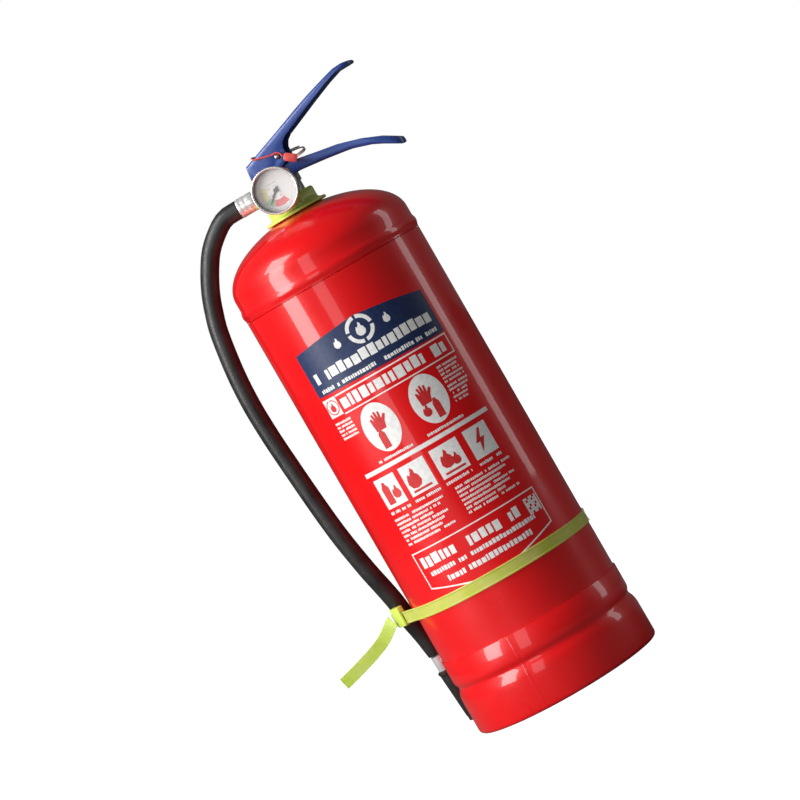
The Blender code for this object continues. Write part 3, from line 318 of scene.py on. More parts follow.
def lathe(name, profile, steps, material, angle=30):
    """Extrudes a ring through a profile of (radius, height), and joins its last ring to its first."""
    bpy.ops.object.select_all(action="DESELECT")
    radius, height = profile[0]
    bpy.ops.mesh.primitive_circle_add(vertices=steps, radius=radius, location=(0, 0, 0))
    made = bpy.context.active_object
    made.name = made.data.name = name
    bpy.ops.object.mode_set(mode="EDIT")
    bpy.ops.mesh.select_all(action="SELECT")
    bpy.ops.transform.translate(value=(0, 0, height))
    for next_radius, next_height in profile[1:]:
        bpy.ops.mesh.extrude_edges_move()
        bpy.ops.transform.translate(value=(0, 0, next_height - height))
        bpy.ops.transform.resize(value=(next_radius / radius, next_radius / radius, 1))
        radius, height = next_radius, next_height
    bpy.ops.mesh.select_all(action="DESELECT")
    bpy.ops.mesh.select_mode(type="EDGE")
    bpy.ops.mesh.select_non_manifold()
    bpy.ops.mesh.bridge_edge_loops()
    bpy.ops.mesh.select_all(action="SELECT")
    bpy.ops.mesh.remove_doubles(threshold=1e-6)
    bpy.ops.mesh.normals_make_consistent(inside=False)
    bpy.ops.object.mode_set(mode="OBJECT")
    made.data.materials.append(material)
    bpy.ops.object.shade_smooth_by_angle(angle=math.radians(angle))
    return made


def put(obj, matrix):
    """Moves a finished mesh to its place, and leaves its object at the origin."""
    obj.data.transform(matrix)
    obj.matrix_world = Matrix.Identity(4)
    return obj


def pointing(direction, at):
    """A placing whose local Z points in a direction."""
    turned = Vector((0, 0, 1)).rotation_difference(Vector(direction))
    return Matrix.Translation(Vector(at)) @ turned.to_matrix().to_4x4()


def rides(obj, body, slot, *nodes):
    """The piece rides on a body and stands for CAD nodes. The slot is not used."""
    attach(obj, body)
    if nodes:
        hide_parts(*nodes)


plated = Paint("bright_plating", (0.92, 0.91, 0.90), 0.3, 0.55)
plated.set("Roughness", plated.ramp(plated.noise(180, 4), 0.3, 0.75, 0.22, 0.38))
plated.bump(plated.noise(500, 3), 0.00002, 0.4)

ferrule_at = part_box("hose_ferrule")
outlet_height = (ferrule_at[0].z + ferrule_at[1].z) / 2
ferrule_end, ferrule_start = -ferrule_at[0].x, -ferrule_at[1].x
R = 7.8 * MM
ferrule_profile = [
    (4.9 * MM, ferrule_end), (R - 0.9 * MM, ferrule_end), (R - 0.3 * MM, ferrule_end - 0.25 * MM),
    (R, ferrule_end - 0.8 * MM), (R, ferrule_end - 2.6 * MM), (R - 0.15 * MM, ferrule_end - 3.3 * MM),
    (R - 0.15 * MM, ferrule_end - 4.6 * MM), (R - 0.02 * MM, ferrule_end - 5.3 * MM),
    (R - 0.02 * MM, ferrule_end - 6.6 * MM), (R - 0.15 * MM, ferrule_end - 7.3 * MM),
    (R - 0.15 * MM, ferrule_end - 8.6 * MM), (R - 0.02 * MM, ferrule_end - 9.3 * MM),
    (R - 0.1 * MM, ferrule_start + 1.2 * MM), (R - 0.4 * MM, ferrule_start + 0.4 * MM),
    (R - 1.1 * MM, ferrule_start), (4.9 * MM, ferrule_start)]
ferrule = lathe("crimped_ferrule", ferrule_profile, 96, plated.material, angle=40)
put(ferrule, pointing((-1, 0, 0), (0, 0, outlet_height)))
rides(ferrule, "vessel", "chromed_steel", "hose_ferrule")

nozzle_axis = Vector((0.3, 0.9, -15.5)).normalized()
hose_end = hose_points[-1]
tube = lathe("nozzle_stub", [
    (5.2 * MM, 0.7 * MM), (5.2 * MM, 12.9 * MM), (5.0 * MM, 13.4 * MM), (4.1 * MM, 13.4 * MM),
    (4.1 * MM, 0.5 * MM), (5.0 * MM, 0.5 * MM)], 64, plated.material)
put(tube, pointing(nozzle_axis, hose_end + nozzle_axis * 0.5 * MM))
rides(tube, "vessel", "bright_steel", "nozzle_tube")

moulded = Paint("moulded_black", (0.02, 0.018, 0.017), 0.4)
moulded.set("Roughness", moulded.ramp(moulded.noise(400, 4), 0.3, 0.7, 0.3, 0.48))
moulded.bump(moulded.noise(3500, 2), 0.00004, 0.6)
N0 = 14.3 * MM
nozzle = lathe("tapered_nozzle", [
    (2.6 * MM, N0), (6.5 * MM, N0), (6.95 * MM, N0 + 0.3 * MM), (6.95 * MM, N0 + 2.0 * MM),
    (6.6 * MM, N0 + 2.4 * MM), (6.35 * MM, N0 + 2.8 * MM), (6.3 * MM, N0 + 4 * MM),
    (4.95 * MM, N0 + 40 * MM), (4.6 * MM, N0 + 41 * MM), (4.55 * MM, N0 + 44.4 * MM),
    (4.1 * MM, N0 + 44.9 * MM), (3.0 * MM, N0 + 44.9 * MM), (2.6 * MM, N0 + 44.4 * MM)], 64, moulded.material)
put(nozzle, pointing(nozzle_axis, hose_end))
rides(nozzle, "vessel", "black_plastic", "nozzle")
run_length(hose_points)


# ---- Strap
# One moulded lime plastic tie goes round the body and the hose, with a bead along both edges. Its
# ratchet head sits in front of the hose, and the loose end droops outwards.
lime = Paint("lime_tie", (0.70, 0.86, 0.10), 0.34, Alpha=0.58, Subsurface_Weight=0.25,
             Subsurface_Radius=(0.004, 0.004, 0.002), Subsurface_Scale=0.5)
lime.set("Base Color", lime.mix(
    lime.ramp(lime.noise(70, 3), 0.3, 0.7), (0.72, 0.88, 0.10), (0.84, 0.94, 0.26)))
lime.set("Roughness", lime.ramp(lime.noise(300, 3), 0.3, 0.7, 0.26, 0.42))
lime.bump(lime.noise(1500, 2), 0.00005, 0.4)
lime_solid = Paint("lime_moulding", (0.66, 0.84, 0.10), 0.36, Subsurface_Weight=0.3,
                   Subsurface_Radius=(0.005, 0.005, 0.002), Subsurface_Scale=0.5)
lime_solid.set("Base Color", lime_solid.mix(
    lime_solid.ramp(lime_solid.noise(60, 3), 0.3, 0.7), (0.58, 0.78, 0.07), (0.76, 0.89, 0.2)))
lime_solid.bump(lime_solid.noise(1400, 2), 0.00006, 0.5)
lime_tail = Paint("lime_tie_end", (0.66, 0.92, 0.14), 0.34, Alpha=0.9, Subsurface_Weight=0.35,
                  Subsurface_Radius=(0.004, 0.004, 0.002), Subsurface_Scale=0.5)
lime_tail.set("Base Color", lime_tail.mix(
    lime_tail.ramp(lime_tail.noise(70, 3), 0.3, 0.7), (0.60, 0.90, 0.10), (0.72, 0.95, 0.2)))
lime_tail.set("Roughness", lime_tail.ramp(lime_tail.noise(300, 3), 0.3, 0.7, 0.26, 0.42))
lime_tail.bump(lime_tail.noise(1500, 2), 0.00005, 0.4)


def strip_along(name, points, half_width, section, material, closed=False, upright=True):
    """A strip whose cross-section, of (across, out) points, is carried along points."""
    count = len(points)
    places, quads = [], []
    for number, point in enumerate(points):
        if closed:
            ahead = points[(number + 1) % count] - points[number - 1]
        else:
            ahead = points[min(number + 1, count - 1)] - points[max(number - 1, 0)]
        out = Vector((ahead.y, -ahead.x, 0)).normalized()
        rise = up.copy() if upright else out.cross(ahead).normalized()
        places += [point + rise * a * half_width + out * b for a, b in section]
    side = len(section)
    for number in range(count if closed else count - 1):
        first, second = number * side, (number + 1) % count * side
        quads += [(first + k, first + (k + 1) % side, second + (k + 1) % side, second + k)
                  for k in range(side)]
    if not closed:
        quads += [tuple(range(side)), tuple(reversed(range((count - 1) * side, count * side)))]
    data = bpy.data.meshes.new(name)
    data.from_pydata(places, [], quads)
    data.materials.append(material)
    made = bpy.data.objects.new(name, data)
    bpy.context.scene.collection.objects.link(made)
    ready(made)
    bpy.ops.object.mode_set(mode="EDIT")
    bpy.ops.mesh.select_all(action="SELECT")
    bpy.ops.mesh.normals_make_consistent(inside=False)
    bpy.ops.object.mode_set(mode="OBJECT")
    bpy.ops.object.shade_smooth_by_angle(angle=math.radians(40))
    return made


strap_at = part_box("hose_strap")
strap_z = (strap_at[0].z + strap_at[1].z) / 2
BODY_R = 76 * MM
LOOP_GAP = 0.3 * MM
HOSE_ROOM = 9.3 * MM
hose_centre = Vector((-86.8, 11.0, 0)) * MM
toward = math.atan2(hose_centre.y, hose_centre.x)
spread = math.acos((BODY_R + LOOP_GAP - HOSE_ROOM) / hose_centre.length)
loop = []
for step in range(181):
    angle = toward + spread + (2 * math.pi - 2 * spread) * step / 180
    loop.append(Vector((math.cos(angle), math.sin(angle), 0)) * (BODY_R + LOOP_GAP) + up * strap_z)
for step in range(31):
    angle = toward - spread + 2 * spread * step / 30
    loop.append(hose_centre + Vector((math.cos(angle), math.sin(angle), 0)) * HOSE_ROOM + up * strap_z)
strap_section = [(-1, 0), (-1, 0.9 * MM), (-0.93, 1.18 * MM), (-0.8, 1.18 * MM), (-0.7, 0.75 * MM),
                 (0.7, 0.75 * MM), (0.8, 1.18 * MM), (0.93, 1.18 * MM), (1, 0.9 * MM), (1, 0)]
strap = strip_along("tie_loop", loop, 5 * MM, strap_section, lime.material, closed=True)
rides(strap, "vessel", "lime_plastic", "hose_strap")

tail_route = [
    (-95.0, -4.4, 108.6), (-96.8, -3.4, 107.6), (-99.4, -2.6, 105.6), (-103.8, -2.4, 102.2),
    (-110.0, -2.6, 98.2), (-120.0, -4.4, 94.0), (-131.0, -6.3, 90.4), (-142.0, -8.2, 87.2),
    (-152.0, -10.0, 84.6),
]
tail_points = smooth_route(tail_route, 1.5 * MM)
tail_section = [(-1, -0.35 * MM), (-1, 0.4 * MM), (-0.9, 0.6 * MM), (-0.78, 0.6 * MM), (-0.7, 0.25 * MM),
                (0.7, 0.25 * MM), (0.78, 0.6 * MM), (0.9, 0.6 * MM), (1, 0.4 * MM), (1, -0.35 * MM)]
tail = strip_along("tie_tail", tail_points, 5 * MM, tail_section, lime_tail.material, upright=False)
rides(tail, "vessel", "lime_plastic", "strap_tail")
run_length(tail_points)


def refined(node, material, bevel, body, slot, angle=30, segments=2):
    """A merged copy of a CAD node with its edges rounded, which stands for the node."""
    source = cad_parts[node]
    made = bpy.data.objects.new(node + "_finished", source.data.copy())
    bpy.context.scene.collection.objects.link(made)
    ready(made)
    bpy.ops.object.mode_set(mode="EDIT")
    bpy.ops.mesh.select_all(action="SELECT")
    bpy.ops.mesh.remove_doubles(threshold=2e-6)
    bpy.ops.mesh.dissolve_limited(angle_limit=math.radians(1.0))
    bpy.ops.object.mode_set(mode="OBJECT")
    if bevel:
        modifier = made.modifiers.new("edges", "BEVEL")
        modifier.width = bevel
        modifier.segments = segments
        modifier.limit_method = "ANGLE"
        modifier.angle_limit = math.radians(angle)
        modifier.use_clamp_overlap = True
        bpy.ops.object.modifier_apply(modifier=modifier.name)
    made.data.materials.clear()
    made.data.materials.append(material)
    bpy.ops.object.shade_smooth_by_angle(angle=math.radians(32))
    rides(made, body, slot, node)
    return made


refined("strap_buckle", lime_solid.material, 0.3 * MM, "vessel", "lime_plastic")


# ---- Painted vessel
# Rolled steel wall, a pressed dome lapped over it with a welded seam, and a base ring rolled with a
# groove and closed with a butt weld. All of it has one coat of glossy red enamel.
def enamel_on(name, seam_angle=None):
    """Glossy red enamel with orange peel, faint dust and, on the base ring, the bump of its seam."""
    enamel = Paint(name, (0.80, 0.004, 0.006), 0.3, Coat_Weight=0.6, Coat_Roughness=0.04,
                   Specular_IOR_Level=0.3)
    cloud = enamel.noise(14, 4)
    enamel.set("Base Color", enamel.mix(
        enamel.ramp(cloud, 0.3, 0.7), (0.78, 0.003, 0.005), (0.88, 0.006, 0.009)))
    enamel.set("Roughness", enamel.ramp(enamel.noise(26, 3), 0.3, 0.7, 0.27, 0.37))
    peel = enamel.noise(420, 2) + enamel.noise(60, 1) * 1.6
    if seam_angle is not None:
        x, y, z = enamel.axes()
        offset = (x * math.cos(seam_angle) + y * math.sin(seam_angle)).size()
        front = (y * math.cos(seam_angle) - x * math.sin(seam_angle)) < 0
        seam = enamel.ramp(offset, 0.0004, 0.0013, 1, 0) * front
        notch = enamel.ramp(offset, 0.0, 0.0005, 1, 0) * front
        peel = peel + seam * 6 - notch * 7
    enamel.bump(peel, 0.00006, 0.55)
    return enamel.material


enamel = enamel_on("red_enamel_coat")
WALL_INSIDE = 74.5 * MM
wall_low, wall_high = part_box("cylinder_wall")[0].z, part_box("cylinder_wall")[1].z
wall = lathe("rolled_wall", [
    (WALL_INSIDE, wall_low), (BODY_R - 0.4 * MM, wall_low), (BODY_R, wall_low + 0.4 * MM),
    (BODY_R, wall_low + 80 * MM), (BODY_R, wall_low + 160 * MM), (BODY_R, wall_high - 60 * MM),
    (BODY_R, wall_high), (WALL_INSIDE, wall_high)], 256, enamel)
rides(wall, "vessel", "red_enamel", "cylinder_wall")

dome_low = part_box("top_dome")[0].z
DOME_SPRING = 382.5 * MM
DOME_RISE = 38 * MM
DOME_RISE_INSIDE = 36.5 * MM
BEAD_HEIGHT = 7.5 * MM
lap = BODY_R + 0.1 * MM
dome_profile = [(WALL_INSIDE, dome_low), (BODY_R - 0.2 * MM, dome_low),
                (lap, dome_low + 0.25 * MM), (lap, dome_low + 1.6 * MM)]
for step in range(1, 12):
    angle = math.pi * step / 12
    dome_profile.append((lap + 1.0 * MM * math.sin(angle) ** 0.8,
                         dome_low + 2 * MM + BEAD_HEIGHT * step / 12))
dome_profile += [(BODY_R, dome_low + 10 * MM), (BODY_R, DOME_SPRING)]
hole = 20.4 * MM
for step in range(1, 25):
    angle = math.acos(hole / BODY_R) * step / 24
    dome_profile.append((BODY_R * math.cos(angle), DOME_SPRING + DOME_RISE * math.sin(angle)))
for step in range(12, -1, -1):
    angle = math.acos(hole / WALL_INSIDE) * step / 12
    dome_profile.append((WALL_INSIDE * math.cos(angle),
                         DOME_SPRING + DOME_RISE_INSIDE * math.sin(angle)))
dome = lathe("pressed_dome", dome_profile, 256, enamel, angle=50)
rides(dome, "vessel", "red_enamel", "top_dome")

ring_enamel = enamel_on("red_enamel_ring", math.radians(-7.6))
ring_profile = [
    (76.4 * MM, 63 * MM), (76.95 * MM, 63 * MM), (77.2 * MM, 62.7 * MM), (77.2 * MM, 46 * MM),
    (77.15 * MM, 44.2 * MM),
    (76.8 * MM, 42.6 * MM), (76.0 * MM, 41.2 * MM), (75.5 * MM, 40.0 * MM), (75.4 * MM, 39.0 * MM),
    (75.6 * MM, 38.0 * MM), (76.2 * MM, 36.6 * MM), (77.1 * MM, 34.6 * MM), (77.8 * MM, 32.0 * MM),
    (78.15 * MM, 29.0 * MM), (78.25 * MM, 26.0 * MM), (78.25 * MM, 3.2 * MM), (78.0 * MM, 1.9 * MM),
    (77.4 * MM, 0.9 * MM), (76.5 * MM, 0.25 * MM), (75.4 * MM, 0.02 * MM), (73.4 * MM, 0.02 * MM),
    (73.4 * MM, 0.9 * MM), (75.3 * MM, 0.9 * MM), (77.2 * MM, 3.0 * MM), (77.3 * MM, 28 * MM),
    (74.7 * MM, 39 * MM), (76.4 * MM, 46 * MM)]
ring = lathe("rolled_base_ring", ring_profile, 256, ring_enamel, angle=50)
rides(ring, "vessel", "red_enamel", "base_ring")
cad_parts["bottom_dish"].data.materials.clear()
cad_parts["bottom_dish"].data.materials.append(enamel)


# ---- Neck collar
# Injection-moulded lime collar: a hexagonal nut shape with rounded corners on a thin round flange,
# pressed over the neck under the valve.
collar_low, collar_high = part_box("neck_collar")
FLANGE_ROOM = 1.2 * MM
bpy.ops.object.select_all(action="DESELECT")
bpy.ops.mesh.primitive_cylinder_add(
    vertices=6, radius=21.2 * MM, depth=collar_high.z - collar_low.z - FLANGE_ROOM,
    location=(0, 0, (collar_high.z + collar_low.z + FLANGE_ROOM) / 2))
collar = bpy.context.active_object
collar.name = collar.data.name = "moulded_collar"
bpy.ops.object.mode_set(mode="EDIT")
bpy.ops.mesh.select_all(action="SELECT")
bpy.ops.transform.rotate(value=math.radians(30), orient_axis="Z", center_override=(0, 0, 0))
bpy.ops.object.mode_set(mode="OBJECT")
bpy.ops.object.transform_apply(location=True, rotation=True, scale=True)
corners = collar.modifiers.new("corners", "BEVEL")
corners.width = 2.2 * MM
corners.segments = 5
corners.limit_method = "ANGLE"
bpy.ops.object.modifier_apply(modifier=corners.name)
flange = lathe("collar_flange", [
    (14.2 * MM, collar_low.z), (25.4 * MM, collar_low.z), (25.9 * MM, collar_low.z + 0.5 * MM),
    (25.9 * MM, collar_low.z + 1.6 * MM), (25.3 * MM, collar_low.z + 2.3 * MM),
    (22.8 * MM, collar_low.z + 2.6 * MM), (21.0 * MM, collar_low.z + 3.4 * MM),
    (19.0 * MM, collar_low.z + 6.4 * MM), (14.2 * MM, collar_low.z + 6.4 * MM)],
    128, lime_solid.material, angle=40)
collar.data.materials.append(lime_solid.material)
ready(collar)
flange.select_set(True)
bpy.ops.object.join()
bpy.ops.object.shade_smooth_by_angle(angle=math.radians(35))
rides(collar, "vessel", "lime_plastic", "neck_collar")


# ---- Valve
# A cast and machined alloy body with brass inner parts. The barrel sits on the collar, the block
# between the levers carries them, and the outlet and the gauge screw into its sides.
alloy = Paint("cast_alloy_body", (0.5, 0.5, 0.52), 0.42, 1.0)
alloy.set("Roughness", alloy.ramp(alloy.noise(300, 4), 0.3, 0.7, 0.34, 0.55))
alloy.bump(alloy.noise(1600, 4), 0.00008, 0.6)
refined("valve_body", alloy.material, 0.35 * MM, "vessel", "cast_alloy")
brass = Paint("turned_brass", (0.72, 0.53, 0.24), 0.3, 1.0)
brass.set("Roughness", brass.ramp(brass.noise(500, 3), 0.3, 0.7, 0.22, 0.42))
refined("outlet_nipple", brass.material, 0.2 * MM, "vessel", "brass")
refined("gauge_stem", brass.material, 0.2 * MM, "vessel", "brass")
refined("valve_stem", brass.material, 0.2 * MM, "stem", "brass")


# ---- Squeeze lever and carrying handle
# Two pressed steel channels with dark blue powder coat. The lever's hollow side faces down and the
# handle's faces up, and both hang on the valve's block with plated rivets.
def coat(name, shade):
    """Powder coat: fine even grain, with paler patches at random."""
    made = Paint(name, shade, 0.36, Coat_Weight=0.25, Coat_Roughness=0.2)
    made.set("Base Color", made.mix(
        made.ramp(made.noise(45, 4), 0.35, 0.7), shade, tuple(min(1, c * 1.22 + 0.004) for c in shade)))
    made.set("Roughness", made.ramp(made.noise(260, 4), 0.3, 0.7, 0.28, 0.46))
    made.bump(made.noise(1300, 3) + made.noise(240, 2), 0.00007, 0.5)
    return made.material


blue = coat("blue_powder_coat_skin", (0.024, 0.062, 0.27))
refined("squeeze_lever", blue, 0.35 * MM, "lever", "blue_powder_coat", angle=40)
refined("carry_handle", blue, 0.35 * MM, "vessel", "blue_powder_coat", angle=40)
steel = Paint("plated_steel", (0.66, 0.66, 0.68), 0.26, 1.0)
steel.set("Roughness", steel.ramp(steel.noise(420, 4), 0.3, 0.7, 0.18, 0.38))
steel.bump(steel.noise(1200, 2), 0.00003, 0.5)
refined("lever_rivet", steel.material, 0.25 * MM, "vessel", "bright_steel")
refined("handle_rivet", steel.material, 0.2 * MM, "vessel", "bright_steel")
spring = refined("valve_spring", steel.material, 0, "vessel", "bright_steel")
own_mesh(spring)


# ---- Safety pin and pull ring
# A plated steel pin through both levers, with a flattened eye that carries a split key ring.
refined("safety_pin", steel.material, 0.2 * MM, "pin", "bright_steel")
WINDING_RADIUS = 13.7 * MM
WINDING_PITCH = 1.24 * MM
bpy.ops.object.select_all(action="DESELECT")
bpy.ops.mesh.primitive_circle_add(vertices=16, radius=0.6 * MM, location=(0, 0, 0))
split = bpy.context.active_object
split.name = split.data.name = "split_ring"
bpy.ops.object.mode_set(mode="EDIT")
bpy.ops.mesh.select_all(action="SELECT")
bpy.ops.transform.rotate(value=math.radians(90), orient_axis="X", center_override=(0, 0, 0))
bpy.ops.transform.translate(value=(WINDING_RADIUS, 0, -WINDING_PITCH))
bpy.ops.mesh.edge_face_add()
bpy.ops.object.mode_set(mode="OBJECT")
winding = split.modifiers.new("winding", "SCREW")
winding.angle = math.radians(690)
winding.screw_offset = WINDING_PITCH * 2
winding.steps = winding.render_steps = 180
bpy.ops.object.modifier_apply(modifier=winding.name)
bpy.ops.object.mode_set(mode="EDIT")
bpy.ops.mesh.select_all(action="DESELECT")
bpy.ops.mesh.select_mode(type="EDGE")
bpy.ops.mesh.select_non_manifold()
bpy.ops.mesh.edge_face_add()
bpy.ops.mesh.select_all(action="SELECT")
bpy.ops.mesh.normals_make_consistent(inside=False)
bpy.ops.object.mode_set(mode="OBJECT")
bpy.ops.object.shade_smooth_by_angle(angle=math.radians(40))
spring_steel = Paint("spring_steel_wire", (0.30, 0.23, 0.21), 0.38, 0.7)
spring_steel.set("Roughness", spring_steel.ramp(spring_steel.noise(500, 3), 0.3, 0.7, 0.3, 0.48))
spring_steel.bump(spring_steel.noise(1500, 2), 0.00002, 0.5)
split.data.materials.append(spring_steel.material)
lowest = min(v.co.z for v in split.data.vertices)
highest = max(v.co.z for v in split.data.vertices)
eye = Vector((10.7, 21.5, 464.0)) * MM
put(split, Matrix.Translation(eye) @ Matrix.Rotation(math.radians(-8), 4, "X")
    @ Matrix.Translation((0, WINDING_RADIUS, -(lowest + highest) / 2)))
rides(split, "ring", "bright_steel", "pull_ring")


# ---- Plastic seal
# A thin red plastic tie is threaded over the lever and the pin's end and closed with a small tag, so
# that a pulled pin shows.
seal_red = Paint("seal_red", (0.80, 0.07, 0.06), 0.4, Subsurface_Weight=0.2,
                 Subsurface_Radius=(0.003, 0.001, 0.001), Subsurface_Scale=0.5)
seal_red.set("Base Color", seal_red.mix(
    seal_red.ramp(seal_red.noise(200, 3), 0.3, 0.7), (0.74, 0.05, 0.05), (0.86, 0.13, 0.11)))
seal_red.bump(seal_red.noise(2500, 2), 0.00003, 0.5)
thread_route = [
    (14.9, -16.3, 461.9), (13.8, -16.1, 465.2), (10.9, -16.0, 467.2), (7.9, -15.9, 467.0),
    (1.0, -15.6, 468.8), (-6.0, -15.5, 470.6), (-7.4, -14.6, 472.4), (-7.6, -11.0, 472.8),
    (-7.8, 0.0, 472.8), (-7.6, 11.0, 472.8), (-7.4, 14.6, 472.4), (-6.0, 15.5, 470.6),
    (1.0, 15.6, 468.8), (8.0, 15.7, 467.1), (11.4, 15.7, 467.1),
]
thread_points = list(reversed(smooth_route(thread_route, 0.9 * MM)))
thread = cord_along("seal_tie", thread_points, 0.65 * MM, seal_red.material, 4)
rides(thread, "lever", "seal_plastic", "seal_thread")
tag = refined("seal_tag", seal_red.material, 0.35 * MM, "lever", "seal_plastic", segments=3)
run_length(thread_points)


# ---- Pressure gauge
# A dark case with a crimped bright bezel and a clear lens. The white dial is printed with a red, a
# green and a yellow band and a plain scale, and the black needle rests in the green.
gauge_low, gauge_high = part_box("gauge_bezel")
gauge_z = (gauge_low.z + gauge_high.z) / 2
to_front = pointing((0, -1, 0), (0, 0, gauge_z))


def facing_front(depth):
    """A placing on the gauge: local X to the right, local Y up and local Z to the front."""
    return Matrix.Translation((0, -depth, gauge_z)) @ Matrix.Rotation(math.radians(90), 4, "X")


case_paint = Paint("dark_case", (0.035, 0.022, 0.018), 0.3, 0.0, Coat_Weight=0.4, Coat_Roughness=0.1)
case_paint.bump(case_paint.noise(900, 3), 0.00004, 0.5)
case_back, case_rim = -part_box("gauge_case")[1].y, -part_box("gauge_case")[0].y
case = lathe("pressed_case", [
    (3.6 * MM, case_back), (15.6 * MM, case_back), (16.9 * MM, case_back + 0.5 * MM),
    (17.6 * MM, case_back + 1.4 * MM), (17.8 * MM, case_back + 2.4 * MM), (17.8 * MM, case_rim),
    (16.8 * MM, case_rim), (16.8 * MM, case_back + 2.4 * MM),
    (15.4 * MM, case_back + MM), (3.6 * MM, case_back + MM)], 128, case_paint.material, angle=40)
put(case, to_front)
rides(case, "vessel", "black_plastic", "gauge_case")

bezel_paint = Paint("bezel_plating", (0.86, 0.82, 0.80), 0.24, 0.8)
bezel_paint.set("Roughness", bezel_paint.ramp(bezel_paint.noise(200, 4), 0.3, 0.7, 0.18, 0.32))
bezel_front, bezel_back = -gauge_low.y, -gauge_high.y
bezel = lathe("crimped_bezel", [
    (18.1 * MM, bezel_back), (18.5 * MM, bezel_back), (18.5 * MM, bezel_front - 1.1 * MM),
    (18.4 * MM, bezel_front - 0.6 * MM),
    (18.1 * MM, bezel_front - 0.2 * MM), (17.6 * MM, bezel_front), (17.1 * MM, bezel_front - 0.1 * MM),
    (16.4 * MM, bezel_front - 0.9 * MM), (16.4 * MM, bezel_front - 1.15 * MM),
    (18.1 * MM, bezel_front - 1.15 * MM)],
    192, bezel_paint.material, angle=50)
put(bezel, to_front)
rides(bezel, "vessel", "chromed_steel", "gauge_bezel")

lens_paint = Paint("clear_lens_skin", (0.97, 0.98, 0.98), 0.04, Alpha=0.1, Specular_IOR_Level=0.7)
lens_low, lens_high = -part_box("gauge_lens")[1].y, -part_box("gauge_lens")[0].y
lens = lathe("lens_disc", [
    (0.2 * MM, lens_low), (17.3 * MM, lens_low), (17.7 * MM, lens_low + 0.3 * MM),
    (17.7 * MM, lens_high - 0.35 * MM), (17.2 * MM, lens_high - 0.1 * MM), (12 * MM, lens_high),
    (0.2 * MM, lens_high)], 128, lens_paint.material, angle=60)
put(lens, to_front)
rides(lens, "vessel", "clear_lens", "gauge_lens")

dial_paint = Paint("dial_card", (0.86, 0.86, 0.84), 0.45)
dial_paint.set("Base Color", dial_paint.mix(
    dial_paint.ramp(dial_paint.noise(120, 3), 0.3, 0.7), (0.90, 0.88, 0.86), (0.95, 0.93, 0.92)))
dial_face = -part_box("gauge_dial")[0].y
dial = lathe("dial_plate", [
    (1.3 * MM, dial_face - 0.55 * MM), (16.3 * MM, dial_face - 0.55 * MM), (16.45 * MM, dial_face - 0.4 * MM),
    (16.45 * MM, dial_face - 0.12 * MM), (16.3 * MM, dial_face), (1.3 * MM, dial_face)],
    128, dial_paint.material)
put(dial, to_front)
rides(dial, "vessel", "white_print", "gauge_dial")


def print_paint(name, colour):
    """Screen-printed ink, a little uneven."""
    made = Paint(name, colour, 0.42)
    paler = tuple(min(1, c * 1.15 + 0.01) for c in colour)
    made.set("Base Color", made.mix(made.ramp(made.noise(350, 4), 0.35, 0.7), colour, paler))
    made.set("Roughness", made.ramp(made.noise(500, 3), 0.3, 0.7, 0.34, 0.5))
    return made.material


def flat_shapes(name, shapes, material):
    """One mesh of flat polygons, each a list of (x, y) in millimetres."""
    places, faces = [], []
    for shape in shapes:
        faces.append(tuple(range(len(places), len(places) + len(shape))))
        places += [(x * MM, y * MM, 0) for x, y in shape]
    data = bpy.data.meshes.new(name)
    data.from_pydata(places, [], faces)
    data.materials.append(material)
    made = bpy.data.objects.new(name, data)
    bpy.context.scene.collection.objects.link(made)
    ready(made)
    bpy.ops.object.mode_set(mode="EDIT")
    bpy.ops.mesh.select_all(action="SELECT")
    bpy.ops.mesh.normals_make_consistent(inside=False)
    bpy.ops.object.mode_set(mode="OBJECT")
    for polygon in data.polygons:
        if polygon.normal.z < 0:
            polygon.flip()
    return made


def band(inner, outer, start, end, steps=16):
    """A piece of a ring between clock angles, in degrees clockwise from the top."""
    angles = [math.radians(start + (end - start) * n / steps) for n in range(steps + 1)]
    return ([(outer * math.sin(a), outer * math.cos(a)) for a in angles]
            + [(inner * math.sin(a), inner * math.cos(a)) for a in reversed(angles)])


def on_dial(obj, depth):
    """Puts a flat print in front of the dial."""
    put(obj, facing_front(depth))
    rides(obj, "vessel", "white_print")


for hue, start, end, colour in (("red", 152, 212, (0.78, 0.11, 0.11)),
                                ("green", 213, 244, (0.28, 0.55, 0.33)),
                                ("yellow", 245, 306, (0.82, 0.76, 0.34))):
    zone = flat_shapes(f"dial_{hue}_band", [band(7.2, 12.6, start, end)],
                       print_paint(f"dial_{hue}", colour))
    on_dial(zone, dial_face + 0.04 * MM)
ink = print_paint("dial_ink", (0.2, 0.2, 0.2))
ticks = [band(13.4, 14.6 if n % 3 else 15.3, 152 + n * 8.6 - 0.5, 152 + n * 8.6 + 0.5, 1) for n in range(19)]
ticks += [band(15.55, 15.75, 140, 400, 90)]
ticks += [[(x - 1.5, 5.9), (x + 1.5, 5.9), (x + 1.5, 6.3), (x - 1.5, 6.3)] for x in (-2.2, 2.2)]
on_dial(flat_shapes("dial_scale", ticks, ink), dial_face + 0.05 * MM)
for number, (text, clock) in enumerate((("0", 160), ("1", 214), ("1.5", 246), ("2.5", 304))):
    bpy.ops.object.select_all(action="DESELECT")
    bpy.ops.object.text_add()
    figure = bpy.context.active_object
    figure.data.body = text
    figure.data.size = 2.1 * MM
    figure.data.align_x = figure.data.align_y = "CENTER"
    bpy.ops.object.convert(target="MESH")
    figure.name = f"dial_figure_{number}"
    figure.data.materials.append(ink)
    angle = math.radians(clock)
    figure.data.transform(Matrix.Translation((5.7 * MM * math.sin(angle), 5.7 * MM * math.cos(angle), 0)))
    on_dial(figure, dial_face + 0.06 * MM)
refined("gauge_needle", print_paint("needle_black", (0.03, 0.03, 0.03)), 0.06 * MM, "needle",
        "black_plastic")


